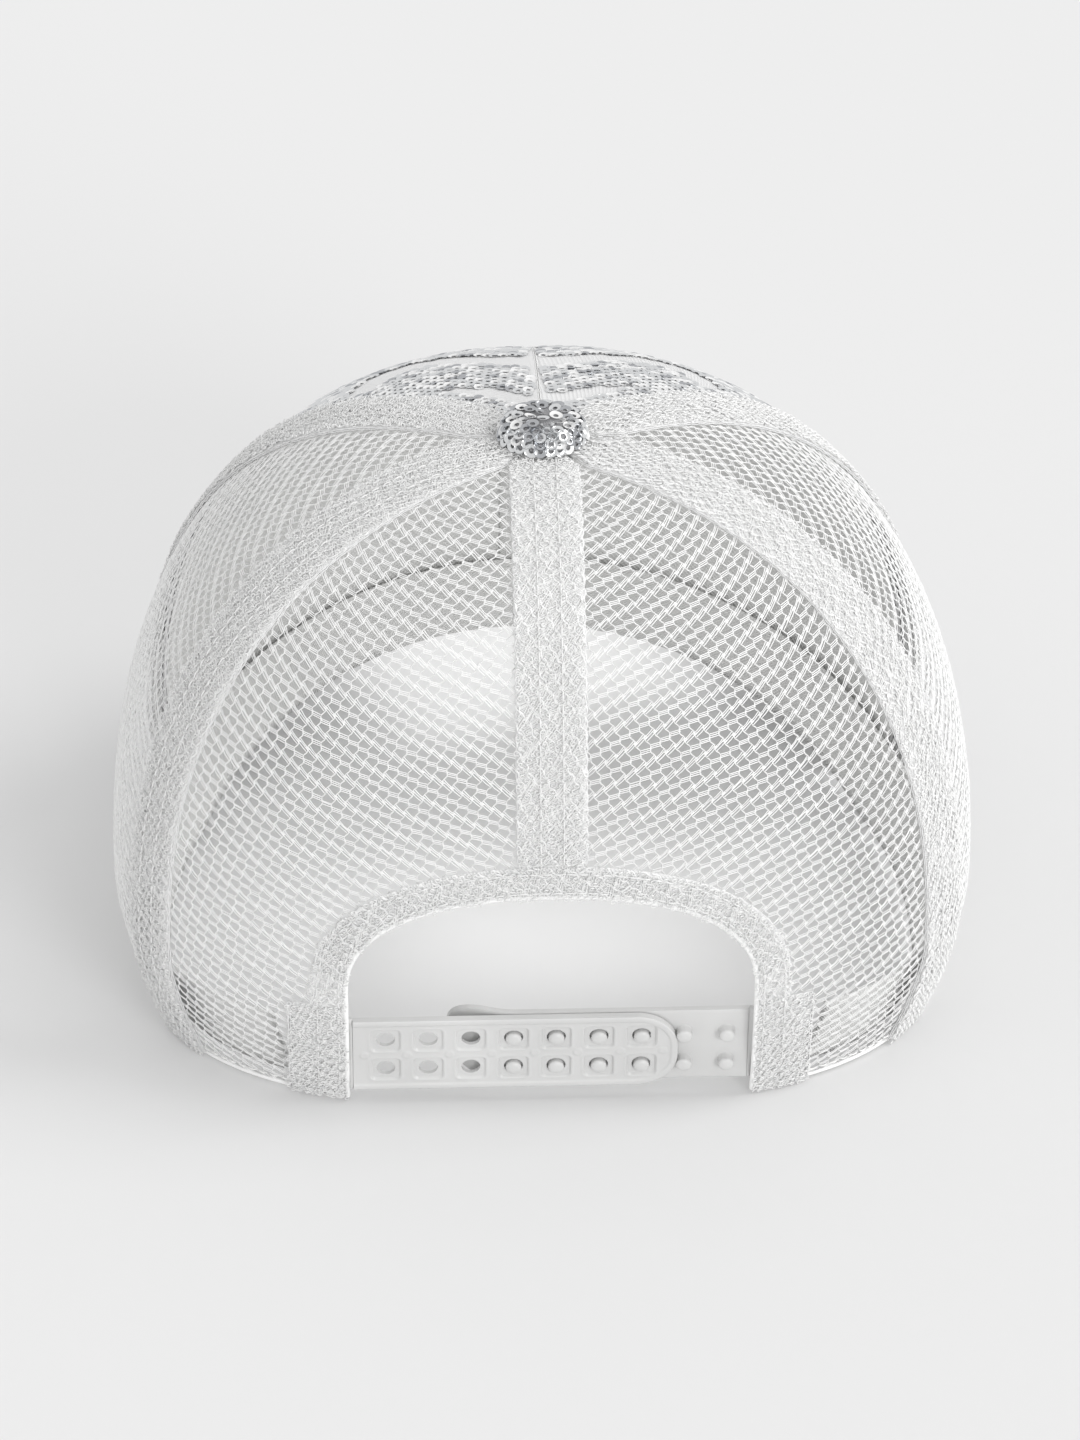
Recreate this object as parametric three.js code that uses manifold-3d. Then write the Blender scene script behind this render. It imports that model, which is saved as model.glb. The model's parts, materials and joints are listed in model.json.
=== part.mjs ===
// Six-panel cap with a sequinned front, net sides and back, a curved visor and a snap strap.
// Millimetres, +Z up. The visor points to -Y and the strap is at +Y. +X is the wearer's left.
import * as THREE from 'three';
import { mergeVertices } from 'three/addons/utils/BufferGeometryUtils.js';
import Module from 'manifold-3d';

const wasm = await Module();
wasm.setup();

const DEG = Math.PI / 180;

// Crown surface
const CROWN_HALF_WIDTH = 95.2;
const CROWN_FRONT_DEPTH = 118;
const CROWN_REAR_DEPTH = 70.5;
const CROWN_HEIGHT = 137;
const WIDEST_HEIGHT = 30;
const RIM_FRACTION = 0.92;
const RIM_CURVE = 1.5;
const PROFILE_ROUNDNESS = 2.35;
const PLAN_ROUNDNESS = 2.16;
const REAR_RIM_ROUNDNESS = 2.7;
const APEX_SHIFT = 15;
const SHANK_HOLE_RADIUS = 3;

// Seams, as angles round the crown from +X towards +Y
const SEAM_FRONT = -90 * DEG;
const SEAM_FRONT_SIDE = -27 * DEG;
const SEAM_SIDE_BACK = 29 * DEG;
const SEAM_BACK = 90 * DEG;

// Fabric layers, measured outwards from the crown surface
const PANEL_LAYER = [-1.0, 0];
const BAND_LAYER = [0.3, 1.0];
const LINING_LAYER = [-2.3, -1.3];
const TAPE_LAYER = [-3.3, -2.6];
const SWEATBAND_LAYER = [-4.9, -3.6];
const SEWN_END_LAYER = [-2.6, -1.3];
const SEAM_GAP = 0.3;
const SEAM_MARGIN = 0.2;
const BAND_HALF_WIDTH = 7.4;
const BAND_MEETING_ANGLE = 27 * DEG;
const TAPE_HALF_WIDTH = 6;
const HEM_RISE = 0.8;

// Rear arch and the hem tabs beside it
const ARCH_HALF_WIDTH = 43.4;
const ARCH_SPRING_HEIGHT = 34;
const ARCH_TOP_HEIGHT = 60;
const ARCH_ROUNDNESS = 2.3;
const BINDING_WIDTH = 8;
const TAB_WIDTH = 13;
const TAB_HEIGHT = 30;

// Visor
const FRONT_RIM_LIFT = 18;
const VISOR_HALF_WIDTH = 80;
const VISOR_PROJECTION = 66;
const VISOR_HALF_ANGLE = 52 * DEG;
const VISOR_STANDOFF = 1.6;
const VISOR_STACK_HEIGHT = 3.2;
const VISOR_BOARD_LAYER = [-2.0, 0];
const VISOR_TOP_LAYER = [0.3, 1.1];
const VISOR_UNDER_LAYER = [-3.2, -2.3];
const SWEATBAND_HEIGHT = 20;

// Button
const BUTTON_RADIUS = 9.4;
const BUTTON_HEIGHT = 5.6;
const BUTTON_SKIN = 1.0;
const BUTTON_CLEARANCE = 0.4;
const SHANK_RADIUS = 2.2;
const BACK_CAP_RADIUS = 6.5;

// Snap strap, in its own plane: x along the strap towards the wearer's right, y up it, z outwards
const STRAP_HEIGHT = 21;
const STRAP_BOTTOM = 4.1;
const STRAP_LEAN = 12.5 * DEG;
const STRAP_THICKNESS = 1.3;
const STRAP_RIM_HEIGHT = 0.35;
const STRAP_RIM_WIDTH = 1.3;
const STRAP_ROOT_REACH = 42.6;
const STRAP_GAP = 0.3;
const STRAP_INSET = 0.4;
const FEMALE_END_X = 27.4;
const MALE_END_X = -22.4;
const STRAP_END_RADIUS = 9;
const HOLE_PITCH = 9.2;
const HOLE_ROW_OFFSET = 4.4;
const FIRST_HOLE_X = -35.6;
const HOLE_PAIRS = 7;
const HOLE_RADIUS = 2.05;
const RECESS_SIDE = 6.5;
const RECESS_DEPTH = 0.4;
const FIRST_STUD_INDEX = 3;
const STUD_PAIRS = 6;
const STUD_RADIUS = 1.7;
const STUD_HEIGHT = 2.5;
const ROUND_SEGMENTS = 14;

// ---------- crown surface ----------

const signedPower = (value, power) => Math.sign(value) * Math.abs(value) ** power;

function widthFraction(z) {
  if (z < WIDEST_HEIGHT) {
    const below = (WIDEST_HEIGHT - z) / WIDEST_HEIGHT;
    return 1 - (1 - RIM_FRACTION) * Math.max(below, 0) ** RIM_CURVE;
  }
  const above = Math.min((z - WIDEST_HEIGHT) / (CROWN_HEIGHT - WIDEST_HEIGHT), 1);
  return (1 - above ** PROFILE_ROUNDNESS) ** (1 / PROFILE_ROUNDNESS);
}

// The back is squarer in plan than the front, most of all near the rim.
function planPower(angle, fraction) {
  const squareness = (REAR_RIM_ROUNDNESS - PLAN_ROUNDNESS) * fraction * fraction;
  return 2 / (PLAN_ROUNDNESS + (Math.sin(angle) > 0 ? squareness : 0));
}

function crownPoint(angle, z) {
  const fraction = widthFraction(z);
  const power = planPower(angle, fraction);
  const depth = Math.sin(angle) > 0 ? CROWN_REAR_DEPTH : CROWN_FRONT_DEPTH;
  return new THREE.Vector3(
    CROWN_HALF_WIDTH * fraction * signedPower(Math.cos(angle), power),
    depth * fraction * signedPower(Math.sin(angle), power) + APEX_SHIFT * z / CROWN_HEIGHT,
    z,
  );
}

function crownNormal(angle, z) {
  const turn = 0.004;
  const rise = 0.05;
  const across = crownPoint(angle + turn, z).sub(crownPoint(angle - turn, z));
  const top = Math.min(z + rise, CROWN_HEIGHT - 0.001);
  const up = crownPoint(angle, top).sub(crownPoint(angle, z - rise));
  return across.cross(up).normalize();
}

// The hem is cut square, so its edge faces straight down.
function layerPoint(angle, z, offset, atHem) {
  const normal = crownNormal(angle, z);
  if (atHem) normal.setZ(0).normalize();
  return crownPoint(angle, z).addScaledVector(normal, offset);
}

function rimLift(x) {
  const across = x / VISOR_HALF_WIDTH;
  return FRONT_RIM_LIFT * Math.max(0, 1 - across * across);
}

function rimHeight(angle) {
  if (Math.sin(angle) >= 0) return 0;
  return rimLift(crownPoint(angle, 0).x);
}

// Height at a fraction of the way from the rim to the apex, evenly spaced along the cloth
function crownHeightAt(angle, fraction, bottom, topRadius) {
  const lowerShare = 0.14;
  const start = bottom + rimHeight(angle);
  if (fraction < lowerShare) return start + (WIDEST_HEIGHT - start) * fraction / lowerShare;
  const end = Math.acos((topRadius / CROWN_HALF_WIDTH) ** (PROFILE_ROUNDNESS / 2));
  const swing = end * (fraction - lowerShare) / (1 - lowerShare);
  return WIDEST_HEIGHT + (CROWN_HEIGHT - WIDEST_HEIGHT) * Math.sin(swing) ** (2 / PROFILE_ROUNDNESS);
}

// Angle round the crown at a given x on the back, at one height
function backAngleAt(x, z) {
  const fraction = widthFraction(z);
  const share = Math.min(Math.abs(x) / (CROWN_HALF_WIDTH * fraction), 1);
  const angle = Math.acos(share ** (1 / planPower(SEAM_BACK, fraction)));
  return x >= 0 ? angle : Math.PI - angle;
}

// ---------- solids ----------

// A closed sheet: point(i, j, side) gives the inner face for side 0 and the outer face for side 1.
function sheetGeometry(columns, rows, point) {
  const positions = [];
  const indices = [];
  const index = (i, j, side) => (side * (rows + 1) + j) * (columns + 1) + i;
  for (let side = 0; side < 2; side += 1) {
    for (let j = 0; j <= rows; j += 1) {
      for (let i = 0; i <= columns; i += 1) {
        positions.push(...point(i / columns, j / rows, side).toArray());
      }
    }
  }
  const quad = (a, b, c, d) => indices.push(a, b, c, a, c, d);
  for (let j = 0; j < rows; j += 1) {
    for (let i = 0; i < columns; i += 1) {
      quad(index(i, j, 1), index(i + 1, j, 1), index(i + 1, j + 1, 1), index(i, j + 1, 1));
      quad(index(i, j, 0), index(i, j + 1, 0), index(i + 1, j + 1, 0), index(i + 1, j, 0));
    }
  }
  for (let i = 0; i < columns; i += 1) {
    quad(index(i, 0, 0), index(i + 1, 0, 0), index(i + 1, 0, 1), index(i, 0, 1));
    quad(index(i, rows, 1), index(i + 1, rows, 1), index(i + 1, rows, 0), index(i, rows, 0));
  }
  for (let j = 0; j < rows; j += 1) {
    quad(index(0, j, 1), index(0, j + 1, 1), index(0, j + 1, 0), index(0, j, 0));
    quad(index(columns, j, 0), index(columns, j + 1, 0), index(columns, j + 1, 1), index(columns, j, 1));
  }
  const geometry = new THREE.BufferGeometry();
  geometry.setAttribute('position', new THREE.Float32BufferAttribute(positions, 3));
  geometry.setIndex(indices);
  return geometry;
}

function toSolid(geometry) {
  const bare = geometry.clone();
  bare.deleteAttribute('normal');
  bare.deleteAttribute('uv');
  const merged = mergeVertices(bare, 1e-4);
  return new wasm.Manifold(new wasm.Mesh({
    numProp: 3,
    vertProperties: new Float32Array(merged.attributes.position.array),
    triVerts: new Uint32Array(merged.index.array),
  }));
}

function fromSolid(solid) {
  const mesh = solid.getMesh();
  const geometry = new THREE.BufferGeometry();
  geometry.setAttribute('position', new THREE.BufferAttribute(new Float32Array(mesh.vertProperties), 3));
  geometry.setIndex(new THREE.BufferAttribute(new Uint32Array(mesh.triVerts), 1));
  return geometry;
}

function addPart(parent, name, geometry, [colour, roughness, metalness]) {
  geometry.computeVertexNormals();
  const material = new THREE.MeshStandardMaterial({ color: colour, roughness, metalness });
  const mesh = new THREE.Mesh(geometry, material);
  mesh.name = name;
  parent.add(mesh);
  return mesh;
}

const NET = [0xf2f2f1, 0.6, 0];
const DOUBLE_NET = [0xf7f7f6, 0.6, 0];
const SEQUIN = [0xc9cacc, 0.3, 0.6];
const LINING = [0xe6e6e4, 0.85, 0];
const TWILL = [0xeeeeec, 0.8, 0];
const PLASTIC = [0xededec, 0.35, 0];
const METAL = [0xb9babb, 0.35, 0.9];
const BOARD = [0xdcdcd8, 0.6, 0];

// ---------- crown panels and bands ----------

// Angle to turn from a seam, at one height, to move a given distance over the cloth
function turnForDistance(angle, z, distance) {
  const start = crownPoint(angle, z);
  const step = Math.sign(distance);
  let low = 0;
  let high = 60 * DEG;
  for (let i = 0; i < 24; i += 1) {
    const middle = (low + high) / 2;
    const reached = crownPoint(angle + step * middle, z).distanceTo(start);
    if (reached < Math.abs(distance)) low = middle;
    else high = middle;
  }
  return step * low;
}

function panelGeometry(from, to, layer, bottom) {
  const columns = 12;
  const rows = 19;
  return sheetGeometry(columns, rows, (u, v, side) => {
    const z = crownHeightAt(from + (to - from) * u, v, bottom, SHANK_HOLE_RADIUS);
    const start = from + turnForDistance(from, z, SEAM_MARGIN);
    const end = to + turnForDistance(to, z, -SEAM_MARGIN);
    const angle = start + (end - start) * u;
    const height = crownHeightAt(angle, v, bottom, SHANK_HOLE_RADIUS);
    return layerPoint(angle, height, layer[side], v === 0);
  });
}

function seamBandGeometry(seam, layer, halfWidth, bottom, topRadius) {
  const columns = 2;
  const rows = 19;
  return sheetGeometry(columns, rows, (u, v, side) => {
    const z = crownHeightAt(seam, v, bottom, topRadius);
    const across = 2 * u - 1;
    const middle = CROWN_HALF_WIDTH * widthFraction(z);
    const width = Math.min(halfWidth, middle * Math.sin(BAND_MEETING_ANGLE) - SEAM_GAP / 2);
    const angle = seam + (across ? turnForDistance(seam, z, across * width) : 0);
    const height = crownHeightAt(angle, v, bottom, topRadius);
    return layerPoint(angle, height, layer[side], v === 0);
  });
}

// Outline of the rear opening, widened all round by a margin and carried below the hem
function archShape(margin) {
  const steps = 20;
  const halfWidth = ARCH_HALF_WIDTH + margin;
  const rise = ARCH_TOP_HEIGHT - ARCH_SPRING_HEIGHT + margin;
  const shape = new THREE.Shape();
  shape.moveTo(halfWidth, -5);
  for (let i = 0; i <= steps; i += 1) {
    const angle = Math.PI * i / steps;
    const x = halfWidth * signedPower(Math.cos(angle), 2 / ARCH_ROUNDNESS);
    const z = ARCH_SPRING_HEIGHT + rise * Math.abs(Math.sin(angle)) ** (2 / ARCH_ROUNDNESS);
    shape.lineTo(x, z);
  }
  shape.lineTo(-halfWidth, -5);
  return shape;
}

// A block through the back of the crown with the outline of the rear opening
function archCutter(margin) {
  const geometry = new THREE.ExtrudeGeometry(archShape(margin), { depth: 100, bevelEnabled: false });
  geometry.rotateX(90 * DEG);
  geometry.translate(0, 120, 0);
  return toSolid(geometry);
}

const mirrored = (angle) => Math.PI - angle;

function addPanels(group) {
  const opening = archCutter(0);
  const sides = {
    left: (from, to) => [from, to],
    right: (from, to) => [mirrored(to), mirrored(from)],
  };
  for (const [side, place] of Object.entries(sides)) {
    const front = place(SEAM_FRONT, SEAM_FRONT_SIDE);
    const flank = place(SEAM_FRONT_SIDE, SEAM_SIDE_BACK);
    const back = place(SEAM_SIDE_BACK, SEAM_BACK);
    addPart(group, `front_panel_${side}`, panelGeometry(...front, PANEL_LAYER, HEM_RISE), SEQUIN);
    addPart(group, `front_lining_${side}`, panelGeometry(...front, LINING_LAYER, 0), LINING);
    addPart(group, `side_mesh_${side}`, panelGeometry(...flank, PANEL_LAYER, 0), NET);
    const backSolid = toSolid(panelGeometry(...back, PANEL_LAYER, 0)).subtract(opening);
    addPart(group, `back_mesh_${side}`, fromSolid(backSolid), NET);
  }
}

function addBands(group) {
  const topRadius = SHANK_HOLE_RADIUS + 0.5;
  const seams = [
    ['front_side_band_left', SEAM_FRONT_SIDE],
    ['front_side_band_right', mirrored(SEAM_FRONT_SIDE)],
    ['side_back_band_left', SEAM_SIDE_BACK],
    ['side_back_band_right', mirrored(SEAM_SIDE_BACK)],
  ];
  for (const [name, seam] of seams) {
    const geometry = seamBandGeometry(seam, BAND_LAYER, BAND_HALF_WIDTH, HEM_RISE, topRadius);
    addPart(group, name, geometry, DOUBLE_NET);
  }
  const aboveBinding = archCutter(BINDING_WIDTH + SEAM_GAP);
  const centre = toSolid(seamBandGeometry(SEAM_BACK, BAND_LAYER, BAND_HALF_WIDTH, 40, topRadius));
  addPart(group, 'centre_back_band', fromSolid(centre.subtract(aboveBinding)), DOUBLE_NET);
  const tape = seamBandGeometry(SEAM_FRONT, TAPE_LAYER, TAPE_HALF_WIDTH, HEM_RISE, topRadius + 3);
  addPart(group, 'centre_front_tape', tape, TWILL);
}

// A patch of cloth on the back of the crown between two x values and two heights
function backPatchGeometry(fromX, toX, bottom, top, layer, columns, rows) {
  return sheetGeometry(columns, rows, (u, v, side) => {
    const z = bottom + (top - bottom) * v;
    const angle = backAngleAt(toX + (fromX - toX) * u, z);
    return layerPoint(angle, z, layer[side], false);
  });
}

function addArchTrim(group) {
  const reach = ARCH_HALF_WIDTH + BINDING_WIDTH + 4;
  const low = TAB_HEIGHT + SEAM_GAP;
  const high = ARCH_TOP_HEIGHT + BINDING_WIDTH + 4;
  const sheet = toSolid(backPatchGeometry(-reach, reach, low, high, BAND_LAYER, 24, 7));
  const binding = sheet.intersect(archCutter(BINDING_WIDTH)).subtract(archCutter(0));
  addPart(group, 'arch_binding', fromSolid(binding), DOUBLE_NET);

  const outer = ARCH_HALF_WIDTH + TAB_WIDTH;
  const tab = [HEM_RISE, TAB_HEIGHT, BAND_LAYER, 3, 4];
  addPart(group, 'rear_tab_left', backPatchGeometry(ARCH_HALF_WIDTH, outer, ...tab), DOUBLE_NET);
  addPart(group, 'rear_tab_right', backPatchGeometry(-outer, -ARCH_HALF_WIDTH, ...tab), DOUBLE_NET);

  const near = ARCH_HALF_WIDTH + 0.6;
  const far = outer - 2;
  const sewn = [STRAP_BOTTOM, STRAP_BOTTOM + STRAP_HEIGHT, SEWN_END_LAYER, 3, 3];
  addPart(group, 'strap_female_sewn_end', backPatchGeometry(near, far, ...sewn), PLASTIC);
  addPart(group, 'strap_male_sewn_end', backPatchGeometry(-far, -near, ...sewn), PLASTIC);
}

function addSweatband(group) {
  const end = backAngleAt(ARCH_HALF_WIDTH + TAB_WIDTH + 3, 10);
  const from = mirrored(end) - 2 * Math.PI;
  const geometry = sheetGeometry(48, 3, (u, v, side) => {
    const angle = from + (end - from) * u;
    const z = rimHeight(angle) + HEM_RISE + (SWEATBAND_HEIGHT - HEM_RISE) * v;
    return layerPoint(angle, z, SWEATBAND_LAYER[side], v === 0);
  });
  addPart(group, 'sweatband', geometry, TWILL);
}

// ---------- visor ----------

function visorPoint(across, outward, offset) {
  const angle = SEAM_FRONT + across * VISOR_HALF_ANGLE;
  const inner = layerPoint(angle, rimHeight(angle), VISOR_STANDOFF, true);
  const swing = across * 90 * DEG;
  const corner = layerPoint(SEAM_FRONT + VISOR_HALF_ANGLE, 0, VISOR_STANDOFF, true);
  const tipY = corner.y - 3;
  const frontY = layerPoint(SEAM_FRONT, rimHeight(SEAM_FRONT), VISOR_STANDOFF, true).y - VISOR_PROJECTION;
  const outerX = (VISOR_HALF_WIDTH - 1) * signedPower(Math.sin(swing), 0.92);
  const outerY = tipY + (frontY - tipY) * Math.cos(swing) ** 0.85;
  const x = inner.x + (outerX - inner.x) * outward;
  const y = inner.y + (outerY - inner.y) * outward;
  return new THREE.Vector3(x, y, VISOR_STACK_HEIGHT + rimLift(x) + offset);
}

function visorGeometry(layer, inset) {
  return sheetGeometry(20, 6, (u, v, side) => {
    const across = (1 - 2 * u) * (1 - inset * 0.012);
    const outward = v * (1 - inset * 0.012);
    return visorPoint(across, outward, layer[side]);
  });
}

function addVisor(group) {
  addPart(group, 'visor_board', visorGeometry(VISOR_BOARD_LAYER, 1), BOARD);
  addPart(group, 'visor_top_cover', visorGeometry(VISOR_TOP_LAYER, 0), TWILL);
  addPart(group, 'visor_under_cover', visorGeometry(VISOR_UNDER_LAYER, 0), TWILL);
}

// ---------- button ----------

function latheGeometry(profile) {
  const points = profile.map(([radius, height]) => new THREE.Vector2(radius, height));
  return new THREE.LatheGeometry(points, 24).rotateX(90 * DEG);
}

function domeProfile(radius, height, base, steps) {
  const points = [];
  for (let i = 0; i <= steps; i += 1) {
    const angle = 90 * DEG * i / steps;
    const reach = i === steps ? 0 : radius * Math.cos(angle) ** 0.7;
    points.push([reach, base + height * Math.sin(angle) ** 0.9]);
  }
  return points;
}

function addButton(group) {
  const base = CROWN_HEIGHT + BAND_LAYER[1] + BUTTON_CLEARANCE;
  const inside = CROWN_HEIGHT + TAPE_LAYER[0] - BUTTON_CLEARANCE;
  const button = new THREE.Group();
  button.name = 'button';
  button.position.y = APEX_SHIFT;
  group.add(button);

  const shellRadius = BUTTON_RADIUS - BUTTON_SKIN - 0.3;
  const shellHeight = BUTTON_HEIGHT - BUTTON_SKIN - 0.3;
  const cover = [
    ...domeProfile(BUTTON_RADIUS - BUTTON_SKIN, BUTTON_HEIGHT - BUTTON_SKIN, base, 7).reverse(),
    ...domeProfile(BUTTON_RADIUS, BUTTON_HEIGHT, base, 7),
  ];
  addPart(button, 'button_cover', latheGeometry(cover), SEQUIN);

  const shell = [
    [0, inside + 0.4],
    [SHANK_RADIUS, inside + 0.4],
    [SHANK_RADIUS, base + 0.2],
    ...domeProfile(shellRadius, shellHeight, base + 0.2, 5),
  ];
  addPart(button, 'button_shell', latheGeometry(shell), METAL);

  const back = [
    [0, inside - 2.2],
    [BACK_CAP_RADIUS - 1.5, inside - 2],
    [BACK_CAP_RADIUS, inside - 1],
    [BACK_CAP_RADIUS, inside],
    [SHANK_RADIUS + 0.4, inside],
    [SHANK_RADIUS + 0.4, inside - 1.2],
    [0, inside - 1.2],
  ];
  addPart(button, 'button_back_cap', latheGeometry(back), METAL);
}

// ---------- snap strap ----------

// Outline of a strap from its root to its rounded free end, shrunk all round by an inset
function strapOutline(rootX, endX, inset) {
  const toEnd = Math.sign(endX - rootX);
  const half = STRAP_HEIGHT / 2 - inset;
  const end = endX - toEnd * inset;
  const radius = STRAP_END_RADIUS - inset;
  const steps = 6;
  const points = [new THREE.Vector2(rootX + toEnd * inset, -half)];
  for (let corner = 0; corner < 2; corner += 1) {
    for (let i = 0; i <= steps; i += 1) {
      const turn = 90 * DEG * (corner + i / steps);
      const x = end - toEnd * radius * (1 - Math.sin(turn));
      const centre = corner === 0 ? -half + radius : half - radius;
      points.push(new THREE.Vector2(x, centre - radius * Math.cos(turn)));
    }
  }
  points.push(new THREE.Vector2(rootX + toEnd * inset, half));
  return THREE.ShapeUtils.isClockWise(points) ? points.reverse() : points;
}

function circlePath(x, y, radius) {
  const path = new THREE.Path();
  for (let i = 0; i < ROUND_SEGMENTS; i += 1) {
    const turn = 2 * Math.PI * i / ROUND_SEGMENTS;
    path[i ? 'lineTo' : 'moveTo'](x + radius * Math.cos(turn), y + radius * Math.sin(turn));
  }
  path.closePath();
  return path;
}

function slab(shape, from, to) {
  const geometry = new THREE.ExtrudeGeometry(shape, { depth: to - from, bevelEnabled: false });
  geometry.translate(0, 0, from);
  return toSolid(geometry);
}

function strapRim(rootX, endX) {
  const ring = new THREE.Shape(strapOutline(rootX, endX, 0));
  ring.holes.push(new THREE.Path(strapOutline(rootX, endX, STRAP_RIM_WIDTH)));
  return slab(ring, STRAP_THICKNESS - 0.1, STRAP_THICKNESS + STRAP_RIM_HEIGHT);
}

function snapCentres(firstIndex, pairs) {
  const centres = [];
  for (let i = firstIndex; i < firstIndex + pairs; i += 1) {
    for (const row of [-1, 1]) centres.push([FIRST_HOLE_X + HOLE_PITCH * i, row * HOLE_ROW_OFFSET]);
  }
  return centres;
}

function femaleStrapGeometry() {
  const outline = new THREE.Shape(strapOutline(-STRAP_ROOT_REACH, FEMALE_END_X, 0));
  for (const [x, y] of snapCentres(0, HOLE_PAIRS)) outline.holes.push(circlePath(x, y, HOLE_RADIUS));
  let solid = slab(outline, 0, STRAP_THICKNESS).add(strapRim(-STRAP_ROOT_REACH, FEMALE_END_X));
  for (const [x, y] of snapCentres(0, HOLE_PAIRS)) {
    const recess = new THREE.BoxGeometry(RECESS_SIDE, RECESS_SIDE, 2 * RECESS_DEPTH);
    recess.translate(x, y, STRAP_THICKNESS);
    solid = solid.subtract(toSolid(recess));
  }
  return fromSolid(solid);
}

function studSolid(x, y) {
  const tip = STRAP_THICKNESS + STUD_HEIGHT;
  const stud = new THREE.LatheGeometry([
    new THREE.Vector2(0, STRAP_THICKNESS - 0.3),
    new THREE.Vector2(STUD_RADIUS, STRAP_THICKNESS - 0.3),
    new THREE.Vector2(STUD_RADIUS, tip - 0.9),
    new THREE.Vector2(STUD_RADIUS * 0.7, tip - 0.25),
    new THREE.Vector2(0, tip),
  ], ROUND_SEGMENTS);
  stud.rotateX(90 * DEG);
  stud.translate(x, y, 0);
  return toSolid(stud);
}

function maleStrapGeometry() {
  const outline = new THREE.Shape(strapOutline(STRAP_ROOT_REACH, MALE_END_X, 0));
  let solid = slab(outline, 0, STRAP_THICKNESS);
  for (const [x, y] of snapCentres(FIRST_STUD_INDEX, STUD_PAIRS)) solid = solid.add(studSolid(x, y));
  return fromSolid(solid);
}

// A flat frame for the strap: it spans the opening as a chord and leans out with the crown wall.
function addStraps(group) {
  const mid = STRAP_BOTTOM + STRAP_HEIGHT / 2;
  const edge = crownPoint(backAngleAt(ARCH_HALF_WIDTH, mid), mid);
  const outerFace = edge.y - STRAP_INSET;
  const layers = [
    ['strap_female', femaleStrapGeometry(), STRAP_THICKNESS],
    ['strap_male', maleStrapGeometry(), 2 * STRAP_THICKNESS + STRAP_GAP],
  ];
  const closure = new THREE.Group();
  closure.name = 'snap_closure';
  closure.position.set(0, outerFace, mid);
  closure.rotation.z = 180 * DEG;
  group.add(closure);
  for (const [name, geometry, depth] of layers) {
    geometry.translate(0, 0, -depth);
    const strap = addPart(closure, name, geometry, PLASTIC);
    strap.rotation.x = 90 * DEG + STRAP_LEAN;
  }
}

const assembly = new THREE.Group();
assembly.name = 'cap_assembly';
addPanels(assembly);
addBands(assembly);
addArchTrim(assembly);
addSweatband(assembly);
addVisor(assembly);
addButton(assembly);
addStraps(assembly);

// The origin is on the floor under the middle of the whole cap.
const bounds = new THREE.Box3().setFromObject(assembly, true);
assembly.position.y = -(bounds.min.y + bounds.max.y) / 2;

const root = new THREE.Group();
root.name = 'mesh_back_cap';
root.add(assembly);

export default root;
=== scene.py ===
import json
import math

import bmesh
import bpy
import numpy as np
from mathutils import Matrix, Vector


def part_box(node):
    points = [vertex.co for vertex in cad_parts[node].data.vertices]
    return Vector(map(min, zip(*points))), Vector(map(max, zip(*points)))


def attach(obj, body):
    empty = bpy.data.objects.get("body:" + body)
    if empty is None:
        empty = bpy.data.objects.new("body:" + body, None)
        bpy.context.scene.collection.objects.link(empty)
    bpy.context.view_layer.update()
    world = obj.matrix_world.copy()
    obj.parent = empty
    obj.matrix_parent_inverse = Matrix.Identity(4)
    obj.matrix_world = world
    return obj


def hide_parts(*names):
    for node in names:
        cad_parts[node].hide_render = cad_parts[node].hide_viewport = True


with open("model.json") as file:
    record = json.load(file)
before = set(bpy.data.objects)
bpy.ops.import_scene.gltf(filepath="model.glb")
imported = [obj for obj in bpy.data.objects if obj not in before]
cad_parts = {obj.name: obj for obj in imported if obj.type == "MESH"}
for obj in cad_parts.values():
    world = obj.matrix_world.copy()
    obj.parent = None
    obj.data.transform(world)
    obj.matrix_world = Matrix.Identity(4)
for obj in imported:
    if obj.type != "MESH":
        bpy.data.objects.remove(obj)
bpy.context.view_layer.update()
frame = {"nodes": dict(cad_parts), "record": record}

MM = 0.001
RANDOM = np.random.default_rng(61)

# ---------- the crown's surface, in mm, with the crown's axis at y = 0 ----------
HALF_WIDTH, FRONT_DEPTH, REAR_DEPTH, HEIGHT = 95.2, 118.0, 70.5, 137.0
WIDEST, RIM_SHARE, RIM_CURVE, PROFILE = 30.0, 0.92, 1.5, 2.35
PLAN, REAR_PLAN, APEX_SHIFT, SHANK_HOLE = 2.16, 2.7, 15.0, 3.0
SEAM_FRONT, SEAM_SIDE, SEAM_REAR, SEAM_BACK = np.radians([-90, -27, 29, 90])
BAND_HALF, BAND_MEETING, TAPE_HALF = 7.4, math.radians(27), 6.0
ARCH_HALF, ARCH_SPRING, ARCH_TOP, ARCH_ROUND = 43.4, 34.0, 60.0, 2.3
BINDING, TAB_WIDTH, TAB_TOP, HEM_RISE = 8.0, 13.0, 30.0, 0.8
RIM_LIFT, VISOR_HALF, VISOR_REACH, VISOR_ANGLE = 18.0, 80.0, 66.0, math.radians(52)
VISOR_STANDOFF, VISOR_STACK, SWEATBAND_TOP = 1.6, 3.2, 20.0
BUTTON_RADIUS, BUTTON_HEIGHT = 9.4, 5.6
STRAP_HALF, STRAP_THICK, STRAP_ROOT, STRAP_GAP = 10.5, 1.3, 42.6, 0.3
FEMALE_END, MALE_END, STRAP_ROUND = 27.4, 22.4, 9.0
MALE_FACE = -STRAP_THICK - STRAP_GAP
PITCH, ROW, FIRST_HOLE, HOLE_PAIRS, HOLE_R = 9.2, 4.4, -35.6, 7, 2.05
FIRST_STUD, STUD_PAIRS, STUD_R, STUD_HEIGHT = 3, 6, 1.7, 2.5

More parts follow.
